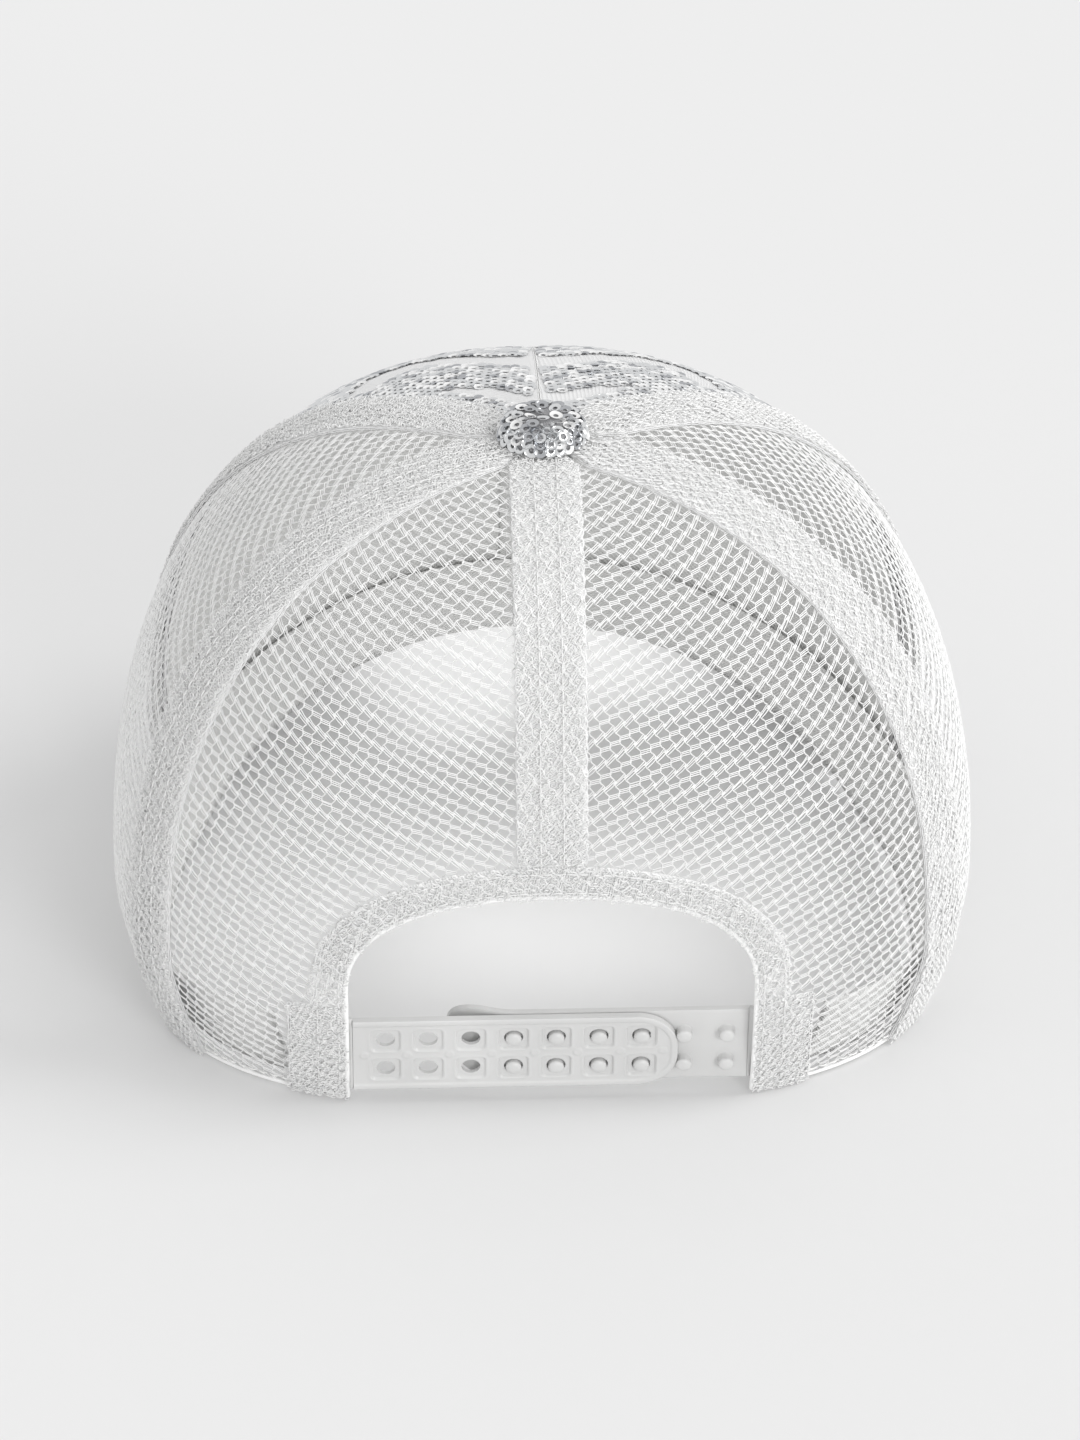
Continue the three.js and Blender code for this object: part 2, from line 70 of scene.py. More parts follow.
button_low, button_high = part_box("button_cover")
CENTRE_Y = (button_low.y + button_high.y) / 2 / MM - APEX_SHIFT
strap_mount = next(m for m in frame["record"]["mounts"] if m["name"] == "strap_face")
STRAP_ORIGIN = np.array([0.0, *strap_mount["pos_m"][1:]])
STRAP_OUT = np.array(strap_mount["axis"], float)
STRAP_UP = -np.cross(STRAP_OUT, [1.0, 0.0, 0.0])


def spow(v, power):
    return np.sign(v) * np.abs(v) ** power


def unit(v):
    return v / np.maximum(np.linalg.norm(v, axis=-1, keepdims=True), 1e-12)


def width_share(z):
    below = 1 - (1 - RIM_SHARE) * np.maximum((WIDEST - z) / WIDEST, 0) ** RIM_CURVE
    above = np.clip((z - WIDEST) / (HEIGHT - WIDEST), 0, 1)
    return np.where(z < WIDEST, below, (1 - above**PROFILE) ** (1 / PROFILE))


def crown(a, z):
    a, z = np.broadcast_arrays(np.asarray(a, float), np.asarray(z, float))
    f = width_share(z)
    rear = np.sin(a) > 0
    p = 2 / (PLAN + np.where(rear, (REAR_PLAN - PLAN) * f * f, 0))
    depth = np.where(rear, REAR_DEPTH, FRONT_DEPTH)
    x = HALF_WIDTH * f * spow(np.cos(a), p)
    y = depth * f * spow(np.sin(a), p) + APEX_SHIFT * z / HEIGHT
    return np.stack([x, y, z], -1)


def crown_normal(a, z):
    across = crown(a + 0.004, z) - crown(a - 0.004, z)
    up = crown(a, np.minimum(z + 0.05, HEIGHT - 0.001)) - crown(a, z - 0.05)
    return unit(np.cross(across, up))


def off_crown(a, z, offset):
    """Points at an offset from the crown's wall, in mm, and the wall's normals there."""
    normal = crown_normal(a, z)
    return crown(a, z) + normal * np.asarray(offset, float)[..., None], normal


def run(points):
    """Distance along a line of points from its start to each of them."""
    return np.concatenate([[0], np.cumsum(np.linalg.norm(np.diff(points, axis=0), axis=1))])


def rim_lift(x):
    return RIM_LIFT * np.maximum(0, 1 - (x / VISOR_HALF) ** 2)


def rim_height(a):
    return np.where(np.sin(a) >= 0, 0, rim_lift(crown(a, 0)[..., 0]))


def climb(a, share, bottom, top_radius):
    """Height at a share of the way from the hem to the apex, evenly spaced along the cloth."""
    low = 0.14
    start = bottom + rim_height(a)
    end = math.acos((top_radius / HALF_WIDTH) ** (PROFILE / 2))
    swing = end * np.clip((share - low) / (1 - low), 0, 1)
    above = WIDEST + (HEIGHT - WIDEST) * np.sin(swing) ** (2 / PROFILE)
    return np.where(share < low, start + (WIDEST - start) * share / low, above)


def arch_height(x, margin):
    """Top of the rear opening over x, widened by a margin, or a negative number beside it."""
    share = np.abs(x) / (ARCH_HALF + margin)
    rise = ARCH_TOP - ARCH_SPRING + margin
    top = ARCH_SPRING + rise * np.maximum(1 - share**ARCH_ROUND, 0) ** (1 / ARCH_ROUND)
    return np.where(share < 1, top, -1)


def back_angle(x, z):
    f = width_share(np.asarray(z, float))
    p = 2 / (PLAN + (REAR_PLAN - PLAN) * f * f)
    a = np.arccos(np.minimum(np.abs(x) / (HALF_WIDTH * f), 1) ** (1 / p))
    return np.where(np.asarray(x) >= 0, a, np.pi - a)


def placed(points):
    """Points in mm on the crown's axis, moved into the row frame in metres."""
    return (np.asarray(points, float) + [0, CENTRE_Y, 0]) * MM


class Patch:
    """Cloth coordinates on the crown: q runs up the middle line from the floor, p is the distance beside it."""

    def __init__(self, low, high, pad=0.15, reach=70.0):
        self.low, self.high = low, high
        middle = (low + high) / 2
        above = (HEIGHT - WIDEST) * np.sin(np.linspace(0, np.pi / 2, 700)) ** (2 / PROFILE)
        z = np.concatenate([np.linspace(0, WIDEST, 60)[:-1], WIDEST + above])
        length = run(crown(middle, z))
        self.q_of_z = (z, length)
        self.top = length[-1]
        self.q = np.linspace(0, self.top, 260)
        self.z = np.interp(self.q, length, z)
        self.p = np.linspace(-reach, reach, 281)
        angles = np.linspace(low - pad, high + pad, 241)
        self.table = np.empty((len(self.q), len(self.p)))
        self.edges = np.empty((len(self.q), 2))
        for i, height in enumerate(self.z):
            row = crown(angles, height)
            s = np.concatenate([[0], np.cumsum(np.linalg.norm(np.diff(row, axis=0), axis=1) + 1e-9)])
            s -= np.interp(middle, angles, s)
            self.table[i] = np.interp(self.p, s, angles)
            self.edges[i] = np.interp([low, high], angles, s)

    def height(self, q):
        return np.interp(q, self.q, self.z)

    def climbed(self, z):
        return np.interp(z, *self.q_of_z)

    def sides(self, q):
        return np.interp(q, self.q, self.edges[:, 0]), np.interp(q, self.q, self.edges[:, 1])

    def angle(self, p, q):
        i = np.clip(q / self.q[1], 0, len(self.q) - 1.001)
        j = np.clip((p - self.p[0]) / (self.p[1] - self.p[0]), 0, len(self.p) - 1.001)
        i0, j0 = i.astype(int), j.astype(int)
        u, v = i - i0, j - j0
        t = self.table
        low = t[i0, j0] * (1 - v) + t[i0, j0 + 1] * v
        high = t[i0 + 1, j0] * (1 - v) + t[i0 + 1, j0 + 1] * v
        return low * (1 - u) + high * u

    def place(self, p, q, offset):
        """Points at an offset from the cloth and its normals, in mm."""
        return off_crown(self.angle(p, q), self.height(q), offset)

    def area(self, keep):
        """Flat area of the cloth where keep(p, q) is true, with its greatest width and length, in m."""
        p, q = np.meshgrid(np.arange(-70, 70, 1.0), np.arange(0.5, self.top, 1.0))
        inside = keep(p, q)
        wide, tall = np.ptp(p[inside]) + 1, np.ptp(q[inside]) + 1
        return (wide * MM, tall * MM), inside.sum() * MM * MM


# ---------- meshes ----------
def make_object(name, points, faces, materials, slots=None, uv=None, sharp=None):
    """A smooth-shaded mesh in metres from points and blocks of faces."""
    mesh = bpy.data.meshes.new(name)
    faces = [np.asarray(f, np.int32) for f in (faces if isinstance(faces, list) else [faces])]
    loops = np.concatenate([f.ravel() for f in faces])
    counts = np.concatenate([np.full(len(f), f.shape[1], np.int32) for f in faces])
    starts = np.concatenate([[0], np.cumsum(counts)[:-1]]).astype(np.int32)
    mesh.vertices.add(len(points))
    mesh.vertices.foreach_set("co", np.asarray(points, np.float32).ravel())
    mesh.loops.add(len(loops))
    mesh.polygons.add(len(counts))
    mesh.polygons.foreach_set("loop_start", starts)
    mesh.loops.foreach_set("vertex_index", loops)
    mesh.polygons.foreach_set("use_smooth", np.ones(len(counts), bool))
    for m in materials:
        mesh.materials.append(m)
    if slots is not None:
        mesh.polygons.foreach_set("material_index", np.asarray(slots, np.int32))
    mesh.update(calc_edges=True)
    if uv is not None:
        layer = mesh.uv_layers.new(name="cloth")
        layer.data.foreach_set("uv", np.asarray(uv, np.float32)[loops].ravel())
    mesh.validate()
    if sharp is not None:
        mark_sharp(mesh, sharp)
    obj = bpy.data.objects.new(name, mesh)
    bpy.context.scene.collection.objects.link(obj)
    return obj


def mark_sharp(mesh, degrees):
    """Edges that fold by more than this angle stay crisp."""
    bm = bmesh.new()
    bm.from_mesh(mesh)
    limit = math.radians(degrees)
    for e in bm.edges:
        if len(e.link_faces) == 2 and e.calc_face_angle() > limit:
            e.smooth = False
    bm.to_mesh(mesh)
    bm.free()


def grid_faces(rows, columns):
    i, j = np.meshgrid(np.arange(rows - 1), np.arange(columns - 1), indexing="ij")
    a = (i * columns + j).ravel()
    return np.stack([a, a + 1, a + columns + 1, a + columns], 1)


def closed_sheet(outer, inner, uv):
    """A thin closed sheet between two grids of points, its edge rounded by one row between them."""
    rows, columns = outer.shape[:2]
    n = rows * columns
    ring = np.concatenate([
        np.arange(columns), columns * np.arange(1, rows) + columns - 1,
        (rows - 1) * columns + np.arange(columns - 2, -1, -1), columns * np.arange(rows - 2, 0, -1),
    ])
    flat_out, flat_in = outer.reshape(-1, 3), inner.reshape(-1, 3)
    middle = (flat_out[ring] + flat_in[ring]) / 2
    centre = middle[(np.arange(len(ring)) + len(ring) // 2) % len(ring)]
    away = unit(middle - np.roll(middle, 1, 0))
    thick = flat_out[ring] - flat_in[ring]
    side = np.cross(away, unit(thick))
    side *= np.sign(np.sum(side * (middle - centre), -1, keepdims=True))
    middle = middle + side * np.linalg.norm(thick, axis=-1, keepdims=True) * 0.35
    points = np.concatenate([flat_out, flat_in, middle])
    top = grid_faces(rows, columns)
    a, b = outer[0, 1] - outer[0, 0], outer[1, 0] - outer[0, 0]
    if np.dot(np.cross(a, b), outer[0, 0] - inner[0, 0]) < 0:
        top = top[:, ::-1]
        ring_out = ring[::-1]
        order = np.arange(len(ring))[::-1]
    else:
        ring_out, order = ring, np.arange(len(ring))
    nxt, onxt = np.roll(ring_out, -1), np.roll(order, -1)
    mid, mnxt = 2 * n + order, 2 * n + onxt
    walls = np.concatenate([
        np.stack([ring_out, mid, mnxt, nxt], 1),
        np.stack([mid, ring_out + n, nxt + n, mnxt], 1),
    ])
    flat_uv = uv.reshape(-1, 2)
    return points, [top, top[:, ::-1] + n, walls], np.concatenate([flat_uv, flat_uv, flat_uv[ring]])


def tubes(centres, normals, radius, sides=3, keep=None):
    """Open-ended yarns. centres and normals are (yarns, points, 3); keep marks the stretches that stay.
    Two sides make a flattened filament: a low ridge that is open underneath."""
    tangent = unit(np.gradient(centres, axis=1))
    side = unit(np.cross(tangent, normals))
    up = np.cross(side, tangent)
    ridge = sides == 2
    turn = np.pi * np.arange(3) / 2 if ridge else 2 * np.pi * np.arange(sides) / sides + np.pi / 2
    count = len(turn)
    radius = np.broadcast_to(np.asarray(radius, float), centres.shape[:2])[..., None, None]
    c, s = np.cos(turn)[:, None], np.sin(turn)[:, None]
    ring = centres[:, :, None] + radius * (c * side[:, :, None] + s * up[:, :, None])
    n, k = centres.shape[:2]
    index = np.arange(n * k * count).reshape(n, k, count)
    a, b = index[:, :-1], index[:, 1:]
    quads = np.stack([a, np.roll(a, -1, 2), np.roll(b, -1, 2), b], -1)
    if ridge:
        quads = quads[:, :, :2]
    if keep is not None:
        quads = quads[keep]
    quads = quads.reshape(-1, 4)
    used, quads = np.unique(quads, return_inverse=True)
    return ring.reshape(-1, 3)[used], quads.reshape(-1, 4)


def joined(parts):
    """Several (points, quads, slot) blocks as one set of points, faces and slots."""
    points, faces, slots, base = [], [], [], 0
    for p, f, s in parts:
        points.append(p)
        faces.append(f + base)
        slots.append(np.broadcast_to(np.asarray(s, np.int32), len(f)))
        base += len(p)
    return np.concatenate(points), np.concatenate(faces), np.concatenate(slots)


# ---------- materials ----------
def principled(name, colour, roughness, **sockets):
    m = bpy.data.materials.new(name)
    m.use_nodes = True
    p = m.node_tree.nodes["Principled BSDF"]
    p.inputs["Base Color"].default_value = (*colour, 1)
    p.inputs["Roughness"].default_value = roughness
    for key, value in sockets.items():
        p.inputs[key.replace("_", " ")].default_value = value
    return m, m.node_tree, p


def node(tree, kind, inputs=(), **settings):
    n = tree.nodes.new(kind)
    for key, value in settings.items():
        setattr(n, key, value)
    for socket, value in dict(inputs).items():
        if isinstance(value, bpy.types.NodeSocket):
            tree.links.new(value, n.inputs[socket])
        else:
            n.inputs[socket].default_value = value
    return n


def noise(tree, vector, scale, detail=3.0):
    return node(tree, "ShaderNodeTexNoise", {"Vector": vector, "Scale": scale, "Detail": detail}).outputs["Fac"]


def spread(tree, value, low, high, to_low, to_high):
    inputs = {"Value": value, "From Min": low, "From Max": high, "To Min": to_low, "To Max": to_high}
    return node(tree, "ShaderNodeMapRange", inputs).outputs["Result"]


def maths(tree, operation, *values):
    return node(tree, "ShaderNodeMath", dict(enumerate(values)), operation=operation).outputs[0]


def blended(tree, share, first, second):
    n = node(tree, "ShaderNodeMix", {"Factor": share}, data_type="RGBA")
    for i, colour in ((6, first), (7, second)):
        n.inputs[i].default_value = (*colour, 1)
    return n.outputs[2]


def bump(tree, shader, height, distance, strength=1.0):
    n = node(tree, "ShaderNodeBump", {"Height": height, "Distance": distance, "Strength": strength})
    tree.links.new(n.outputs["Normal"], shader.inputs["Normal"])


def woven(name, light, dark, roughness, pitch_u, pitch_v, slant, depth, twill=True, **sockets):
    """Woven cloth in cloth coordinates of 1 unit per mm: ribs along the slant, crossed by fine yarns."""
    m, tree, p = principled(name, light, roughness, **sockets)
    uv = node(tree, "ShaderNodeUVMap", uv_map="cloth").outputs["UV"]
    place = node(tree, "ShaderNodeTexCoord").outputs["Object"]
    wander = noise(tree, place, 60.0, 2.0)
    xyz = node(tree, "ShaderNodeSeparateXYZ", {"Vector": uv})
    u, v = xyz.outputs["X"], xyz.outputs["Y"]
    shifted = maths(tree, "ADD", u, maths(tree, "MULTIPLY", wander, 0.35))
    shifted = maths(tree, "ADD", maths(tree, "MULTIPLY", v, slant), shifted)
    rib = maths(tree, "SINE", maths(tree, "MULTIPLY", shifted, 2 * math.pi / pitch_u))
    yarn = maths(tree, "SINE", maths(tree, "MULTIPLY", v, 2 * math.pi / pitch_v))
    if twill:
        height = maths(tree, "ADD", maths(tree, "MULTIPLY", rib, 0.75), maths(tree, "MULTIPLY", yarn, 0.25))
    else:
        height = maths(tree, "MULTIPLY", rib, yarn)
    fuzz = noise(tree, place, 2600.0, 2.0)
    height = maths(tree, "ADD", height, maths(tree, "MULTIPLY", fuzz, 0.5))
    # Painted shade: the colour goes towards the dark tone where the weave's relief is low, in its grooves; the slow
    # wander noise adds a real random tone.
    share = maths(tree, "ADD", spread(tree, height, -1, 1.3, 0, 0.75), spread(tree, wander, 0.3, 0.7, 0, 0.25))
    tree.links.new(blended(tree, share, dark, light), p.inputs["Base Color"])
    tree.links.new(spread(tree, height, -1, 1.3, min(roughness + 0.08, 1), roughness - 0.06), p.inputs["Roughness"])
    bump(tree, p, height, depth)
    return m


def yarn_tones(name, tones, roughness, **sockets):
    """The tones of one yarn: each filament takes one of them."""
    return [principled(f"{name}_{i}", t, roughness + 0.05 * i, **sockets)[0] for i, t in enumerate(tones)]


def moulded(name, light, dark, roughness, grain=900.0, depth=0.00002, **sockets):
    """Moulded plastic: faint flow marks, fine grain and soft scuffs."""
    m, tree, p = principled(name, light, roughness, **sockets)
    place = node(tree, "ShaderNodeTexCoord").outputs["Object"]
    flow = noise(tree, place, 45.0, 4.0)
    fine = noise(tree, place, grain, 3.0)
    tree.links.new(blended(tree, spread(tree, flow, 0.35, 0.65, 0, 1), dark, light), p.inputs["Base Color"])
    scuff = maths(tree, "ADD", spread(tree, flow, 0.3, 0.7, -0.05, 0.06), spread(tree, fine, 0.3, 0.7, -0.03, 0.05))
    tree.links.new(maths(tree, "ADD", scuff, roughness), p.inputs["Roughness"])
    bump(tree, p, maths(tree, "ADD", maths(tree, "MULTIPLY", fine, 0.4), flow), depth)
    return m


NET_YARNS = yarn_tones(
    "net_filament", [(0.97, 0.97, 0.965), (0.94, 0.94, 0.935), (0.88, 0.88, 0.88)], 0.42,
    Sheen_Weight=0.2, Coat_Weight=0.1,
)
DOUBLE_YARNS = yarn_tones(
    "seam_filament", [(0.97, 0.97, 0.965), (0.94, 0.94, 0.935), (0.87, 0.87, 0.87)], 0.42,
    Sheen_Weight=0.15, Coat_Weight=0.1,
)
STITCH = yarn_tones("stitch_thread", [(0.93, 0.93, 0.92), (0.86, 0.86, 0.855)], 0.5, Sheen_Weight=0.3)
SATIN = woven(
    "satin_twill", (0.88, 0.88, 0.88), (0.72, 0.72, 0.725), 0.42, 1.0, 0.45, 0.55, 0.00007, Sheen_Weight=0.3,
)
BUCKRAM = woven(
    "buckram", (0.86, 0.86, 0.85), (0.74, 0.74, 0.73), 0.8, 1.3, 1.3, 0.0, 0.00010, twill=False, Sheen_Weight=0.1,
)
TWILL = woven(
    "cotton_twill", (0.88, 0.88, 0.87), (0.74, 0.74, 0.73), 0.78, 0.9, 0.5, 1.0, 0.00009, Sheen_Weight=0.25,
)
TAPE = woven(
    "seam_tape", (0.86, 0.86, 0.85), (0.72, 0.72, 0.71), 0.75, 0.8, 0.6, 0.0, 0.00008, twill=False, Sheen_Weight=0.2,
)
BACKING = woven(
    "close_knit_backing", (0.90, 0.90, 0.895), (0.72, 0.72, 0.72), 0.7, 0.75, 0.75, 0.3, 0.00008,
    twill=False, Sheen_Weight=0.2,
)
PLASTIC = moulded(
    "snap_plastic", (0.69, 0.69, 0.685), (0.64, 0.64, 0.635), 0.36, Coat_Weight=0.15, Coat_Roughness=0.2,
)
BOARD = moulded("visor_board_plastic", (0.74, 0.74, 0.72), (0.66, 0.66, 0.64), 0.6, 500.0, 0.00005)
METAL = moulded("pressed_metal", (0.72, 0.73, 0.73), (0.60, 0.61, 0.61), 0.34, 700.0, 0.00003, Metallic=0.9)
SEQUINS = [
    principled("sequin_silver", (0.78, 0.79, 0.80), 0.18, Metallic=0.85, Coat_Weight=0.4, Coat_Roughness=0.08)[0],
    principled("sequin_pearl", (0.88, 0.88, 0.88), 0.28, Metallic=0.25, Coat_Weight=0.5, Coat_Roughness=0.12)[0],
    # Painted reflection: a darker tone for the sequins that stands in for sequins mirroring the dark side of the
    # room.
    principled("sequin_painted_dark_reflection", (0.50, 0.51, 0.53), 0.16, Metallic=0.9, Coat_Weight=0.3, Coat_Roughness=0.06)[0],
]
# Painted shade: the button's cloth is dark grey so that the gaps between its sequins look shaded.
BUTTON_CLOTH = woven("button_cloth_painted_gap_shade", (0.40, 0.40, 0.41), (0.24, 0.24, 0.25), 0.6, 0.8, 0.5, 0.5, 0.00006)


def finish_piece(obj, slot, *nodes, body="crown"):
    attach(obj, body)
    if nodes:
        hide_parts(*nodes)
    return obj


def cloth_piece(name, outer, inner, uv, material, slot, *nodes):
    """A closed sheet of one material between two grids of points in mm."""
    points, faces, uvs = closed_sheet(outer, inner, uv)
    return finish_piece(make_object(name, placed(points), faces, [material], uv=uvs), slot, *nodes)


def yarn_piece(name, parts, materials, slot, *nodes):
    """Yarns, stitches or sequins as one piece; each part is (points, quads, material index)."""
    points, quads, slots = joined(parts)
    return finish_piece(make_object(name, placed(points), quads, materials, slots), slot, *nodes)


def grid_uv(u, v):
    return np.stack(np.broadcast_arrays(u, v), -1)


def grid_area(grid):
    """Area of a grid of points in mm, in square metres."""
    up, across = grid[1:, :-1] - grid[:-1, :-1], grid[:-1, 1:] - grid[:-1, :-1]
    return np.linalg.norm(np.cross(up, across), axis=-1).sum() * MM * MM


# ---------- camera ----------
def add_camera():
    """The height of the view takes in 36 mm of film whatever the picture's width."""
    pitch, yaw, reach = math.radians(30.96), math.radians(1.89), 1.3735
    target = Vector((0.00012, CENTRE_Y * MM, 0.05856))
    level = math.cos(pitch)
    forward = Vector((-math.sin(yaw) * level, -math.cos(yaw) * level, -math.sin(pitch)))
    data = bpy.data.cameras.new("camera")
    data.sensor_fit, data.sensor_height, data.lens = "VERTICAL", 36, 155.26
    data.clip_start, data.clip_end = 0.02, 100
    cam = bpy.data.objects.new("camera", data)
    cam.location = target - forward * reach
    cam.rotation_euler = forward.to_track_quat("-Z", "Y").to_euler()
    bpy.context.scene.collection.objects.link(cam)
    bpy.context.scene.camera = cam


add_camera()


# ---------- net ----------
# One cell of the lattice in mm: its two steps, the chain's knots and the ends of the two filament bundles.
STEP_ACROSS, STEP_UP = 1.77, 1.23
DROP = STEP_UP - 5.5
WALLS = np.array([[0.885, 0.615], [1.555, -1.585]])
SHORT_BUNDLE = np.array([[-0.52, -1.37], [1.36, -0.79]])
LONG_BUNDLE = np.array([[0.34, -4.28], [2.20, -2.10]])
SHORT_LINES, LONG_LINES = (-0.37, 0.0, 0.37), (-0.39, 0.0, 0.39)
CHAIN_POINTS, CHAIN_RADIUS, FILAMENT_RADIUS = 6, 0.105, 0.09
MESH_SCALE, MESH_TURN = 1.18, -0.15
CURL_ACROSS, CURL_UP, CURL_LIFT = 1.52, 1.16, 0.08
TONE_SHARES = (0.5, 0.33, 0.17)
# Heights over the crown's wall in mm: the single net, the doubled net of a band or binding and its backing
NET_LIFT, BAND_LIFT, BINDING_LIFT, BACKING_TOP, BACKING_FOOT = -0.45, 0.78, 0.8, 0.42, 0.12


def net_yarns(patch, keep, hand, offset, box, turn=0.0, shift=(0.0, 0.0), ruffle=1.0, chain_sides=3, lean=0.0):
    """Warp-knit net: wavy two-strand chains running down and outwards, joined in turn by a short flat bundle and
    a long slanting bundle of three filaments. keep(p, q) marks the cloth; box is (p low, p high, q low, q high);
    lean draws the grain over towards the middle of the back with height."""
    rng = np.random.default_rng(int(RANDOM.integers(1 << 30)))
    c, s = math.cos(turn), math.sin(turn)

    def laid(xy):
        x, y = xy[..., 0] * hand * MESH_SCALE, xy[..., 1] * MESH_SCALE * (1 - 0.07 * lean)
        p, q = c * x - s * y + shift[0], s * x + c * y + shift[1]
        p = p + lean * hand * (0.08 * q + 0.0009 * q * q)
        p = p + 0.35 * np.sin(q / 11.0 + p / 17.0) + 0.12 * np.sin(q / 2.9 + 1.3)
        return p, q + 0.3 * np.sin(p / 9.0 + q / 23.0)

    k, j = np.meshgrid(np.arange(-160, 161), np.arange(-90, 91), indexing="ij")
    centre = np.stack([(k + j) * STEP_ACROSS, k * STEP_UP + j * DROP], -1)
    p, q = laid(centre)
    near = (p > box[0] - 7) & (p < box[1] + 7) & (q > box[2] - 7) & (q < box[3] + 7)
    start = centre[near][:, None]
    parts = []

    def lay(path, lift, radius, sides=2):
        """path is (yarns, points, 2) in lattice mm; lift is the height of each point over the cloth."""
        p, q = laid(path)
        inside = keep(p, q)
        good = inside[:, :-1] & inside[:, 1:]
        used = good.any(1)
        if not used.any():
            return
        at, normal = patch.place(p[used], q[used], offset + lift[used])
        tone = rng.choice(3, size=used.sum(), p=TONE_SHARES)
        for t in range(3):
            mine = tone == t
            if mine.any() and good[used][mine].any():
                parts.append((*tubes(at[mine], normal[mine], radius, sides, good[used][mine]), t))

    # Each cell's stretch of chain goes from its upper wall to its lower one and on to the next cell. It bulges
    # away from the hole on either side in turn.
    knots = np.array([*WALLS, WALLS[0] + [STEP_ACROSS, DROP]])
    t = np.linspace(0, 2, 2 * CHAIN_POINTS + 1)
    line = np.stack([np.interp(t, [0, 1, 2], knots[:, i]) for i in range(2)], -1)
    along = unit(knots[2] - knots[0])
    across = np.array([-along[1], along[0]])
    between = (np.sin(np.pi * t / 2) > 0.05)[None, :, None]
    for strand in range(2):
        phase = 2 * np.pi * t + strand * np.pi
        wave = line + across * (0.07 * np.cos(phase) + 0.20 * np.cos(2 * np.pi * (t - 0.26)))[:, None]
        path = start + wave[None]
        path = path + rng.normal(0, 0.02 * ruffle, path.shape) * between
        lay(path, np.broadcast_to(0.09 * np.sin(phase), path.shape[:2]), CHAIN_RADIUS, chain_sides)
    for place in SHORT_LINES:
        path = start + (SHORT_BUNDLE + [0.04, place])[None] + rng.normal(0, 0.03 * ruffle, (len(start), 2, 2))
        lay(path, rng.normal(0, 0.05, (len(start), 1)) + np.zeros((1, 2)), FILAMENT_RADIUS)
    slope = unit(LONG_BUNDLE[1] - LONG_BUNDLE[0])
    beside = np.array([-slope[1], slope[0]])
    ends = np.stack([LONG_BUNDLE[0], LONG_BUNDLE.mean(0), LONG_BUNDLE[1]])
    for i, place in enumerate(LONG_LINES):
        path = start + (ends + beside * place)[None] + rng.normal(0, 0.025 * ruffle, (len(start), 3, 2))
        path[:, 1] += beside * (0.05 if i % 2 else -0.05)
        lay(path, rng.normal(0, 0.05, (len(start), 1)) + np.array([[-0.05, 0.09, -0.05]]), FILAMENT_RADIUS)
    return joined(parts)


def net_piece(name, patch, keep, hand, offset, box, tones, slot, node_name, **options):
    layers = [net_yarns(patch, keep, hand, offset, box, **options)]
    if tones is DOUBLE_YARNS:
        options = dict(options, turn=options.get("turn", 0) + 0.16, shift=(1.1, 2.3))
        layers.append(net_yarns(patch, keep, hand, offset - 0.18, box, **options))
    return yarn_piece(name, layers, tones, slot, node_name)


def curls(patch, keep, offset, box):
    """Small crimped loops of the gathered knit, in slanting rows, each with its own turn, size and tone."""
    rng = np.random.default_rng(int(RANDOM.integers(1 << 30)))
    p, q = np.meshgrid(np.arange(box[0], box[1], CURL_ACROSS), np.arange(box[2], box[3], CURL_UP))
    p = p + 0.45 * q % CURL_ACROSS
    p, q = p + rng.normal(0, 0.13, p.shape), q + rng.normal(0, 0.10, q.shape)
    inside = keep(p, q) & (rng.random(p.shape) < 0.93)
    p, q = p[inside][:, None], q[inside][:, None]
    count = len(p)
    t = np.linspace(0, 1, 8)[None]
    turn = rng.normal(0.9, 0.45, (count, 1)) + t * rng.normal(4.6, 0.5, (count, 1))
    reach = rng.normal(0.47, 0.05, (count, 1)) * (0.75 + 0.45 * t)
    lift = offset + rng.uniform(-0.08, 0.12, (count, 1)) + 0.26 * np.sin(np.pi * t)
    at, normal = patch.place(p + reach * np.cos(turn), q + 0.85 * reach * np.sin(turn), lift)
    tone = rng.choice(3, size=count, p=[0.45, 0.33, 0.22])
    return [(*tubes(at[tone == k], normal[tone == k], 0.13, 3), k) for k in range(3)]


def stitches(line, count, radius=0.15):
    """Short raised stitches along a line. line(t) gives points and normals for shares t of the way."""
    length, lift = 0.72, 0.16
    start = (np.arange(count) + 0.14) / count
    t = start[:, None] + np.linspace(0, length / count, 5)[None]
    at, normal = line(t)
    arc = np.sin(np.linspace(0, np.pi, 5)) * 1.4 - 0.5
    at = at + normal * (arc * lift)[None, :, None]
    return tubes(at, normal, radius * np.array([0.55, 1, 1.05, 1, 0.55])[None], 5)


def on_panel(patch, above_hem=0.35, inset=0.3):
    """keep(p, q) for a panel: inside its seams, above its hem, under the button and outside the rear opening."""

    def keep(p, q):
        low, high = patch.sides(q)
        a, z = patch.angle(p, q), patch.height(q)
        at = crown(a, z)
        inside = (p > low + inset) & (p < high - inset) & (q < patch.top) & (q > 0)
        inside &= z > rim_height(a) + above_hem
        inside &= np.hypot(at[..., 0], at[..., 1] - APEX_SHIFT) > SHANK_HOLE
        return inside & ~((at[..., 1] > 0) & (z < arch_height(at[..., 0], 0.15)))

    return keep


def mirror(a, side):
    return a if side > 0 else np.pi - a


SIDES = (("left", 1), ("right", -1))
SEAMS = (("front", SEAM_FRONT, SEAM_SIDE), ("side", SEAM_SIDE, SEAM_REAR), ("back", SEAM_REAR, SEAM_BACK))
PATCHES = {}
for side_name, side in SIDES:
    for part, low, high in SEAMS:
        PATCHES[part, side] = Patch(*sorted((mirror(low, side), mirror(high, side))))


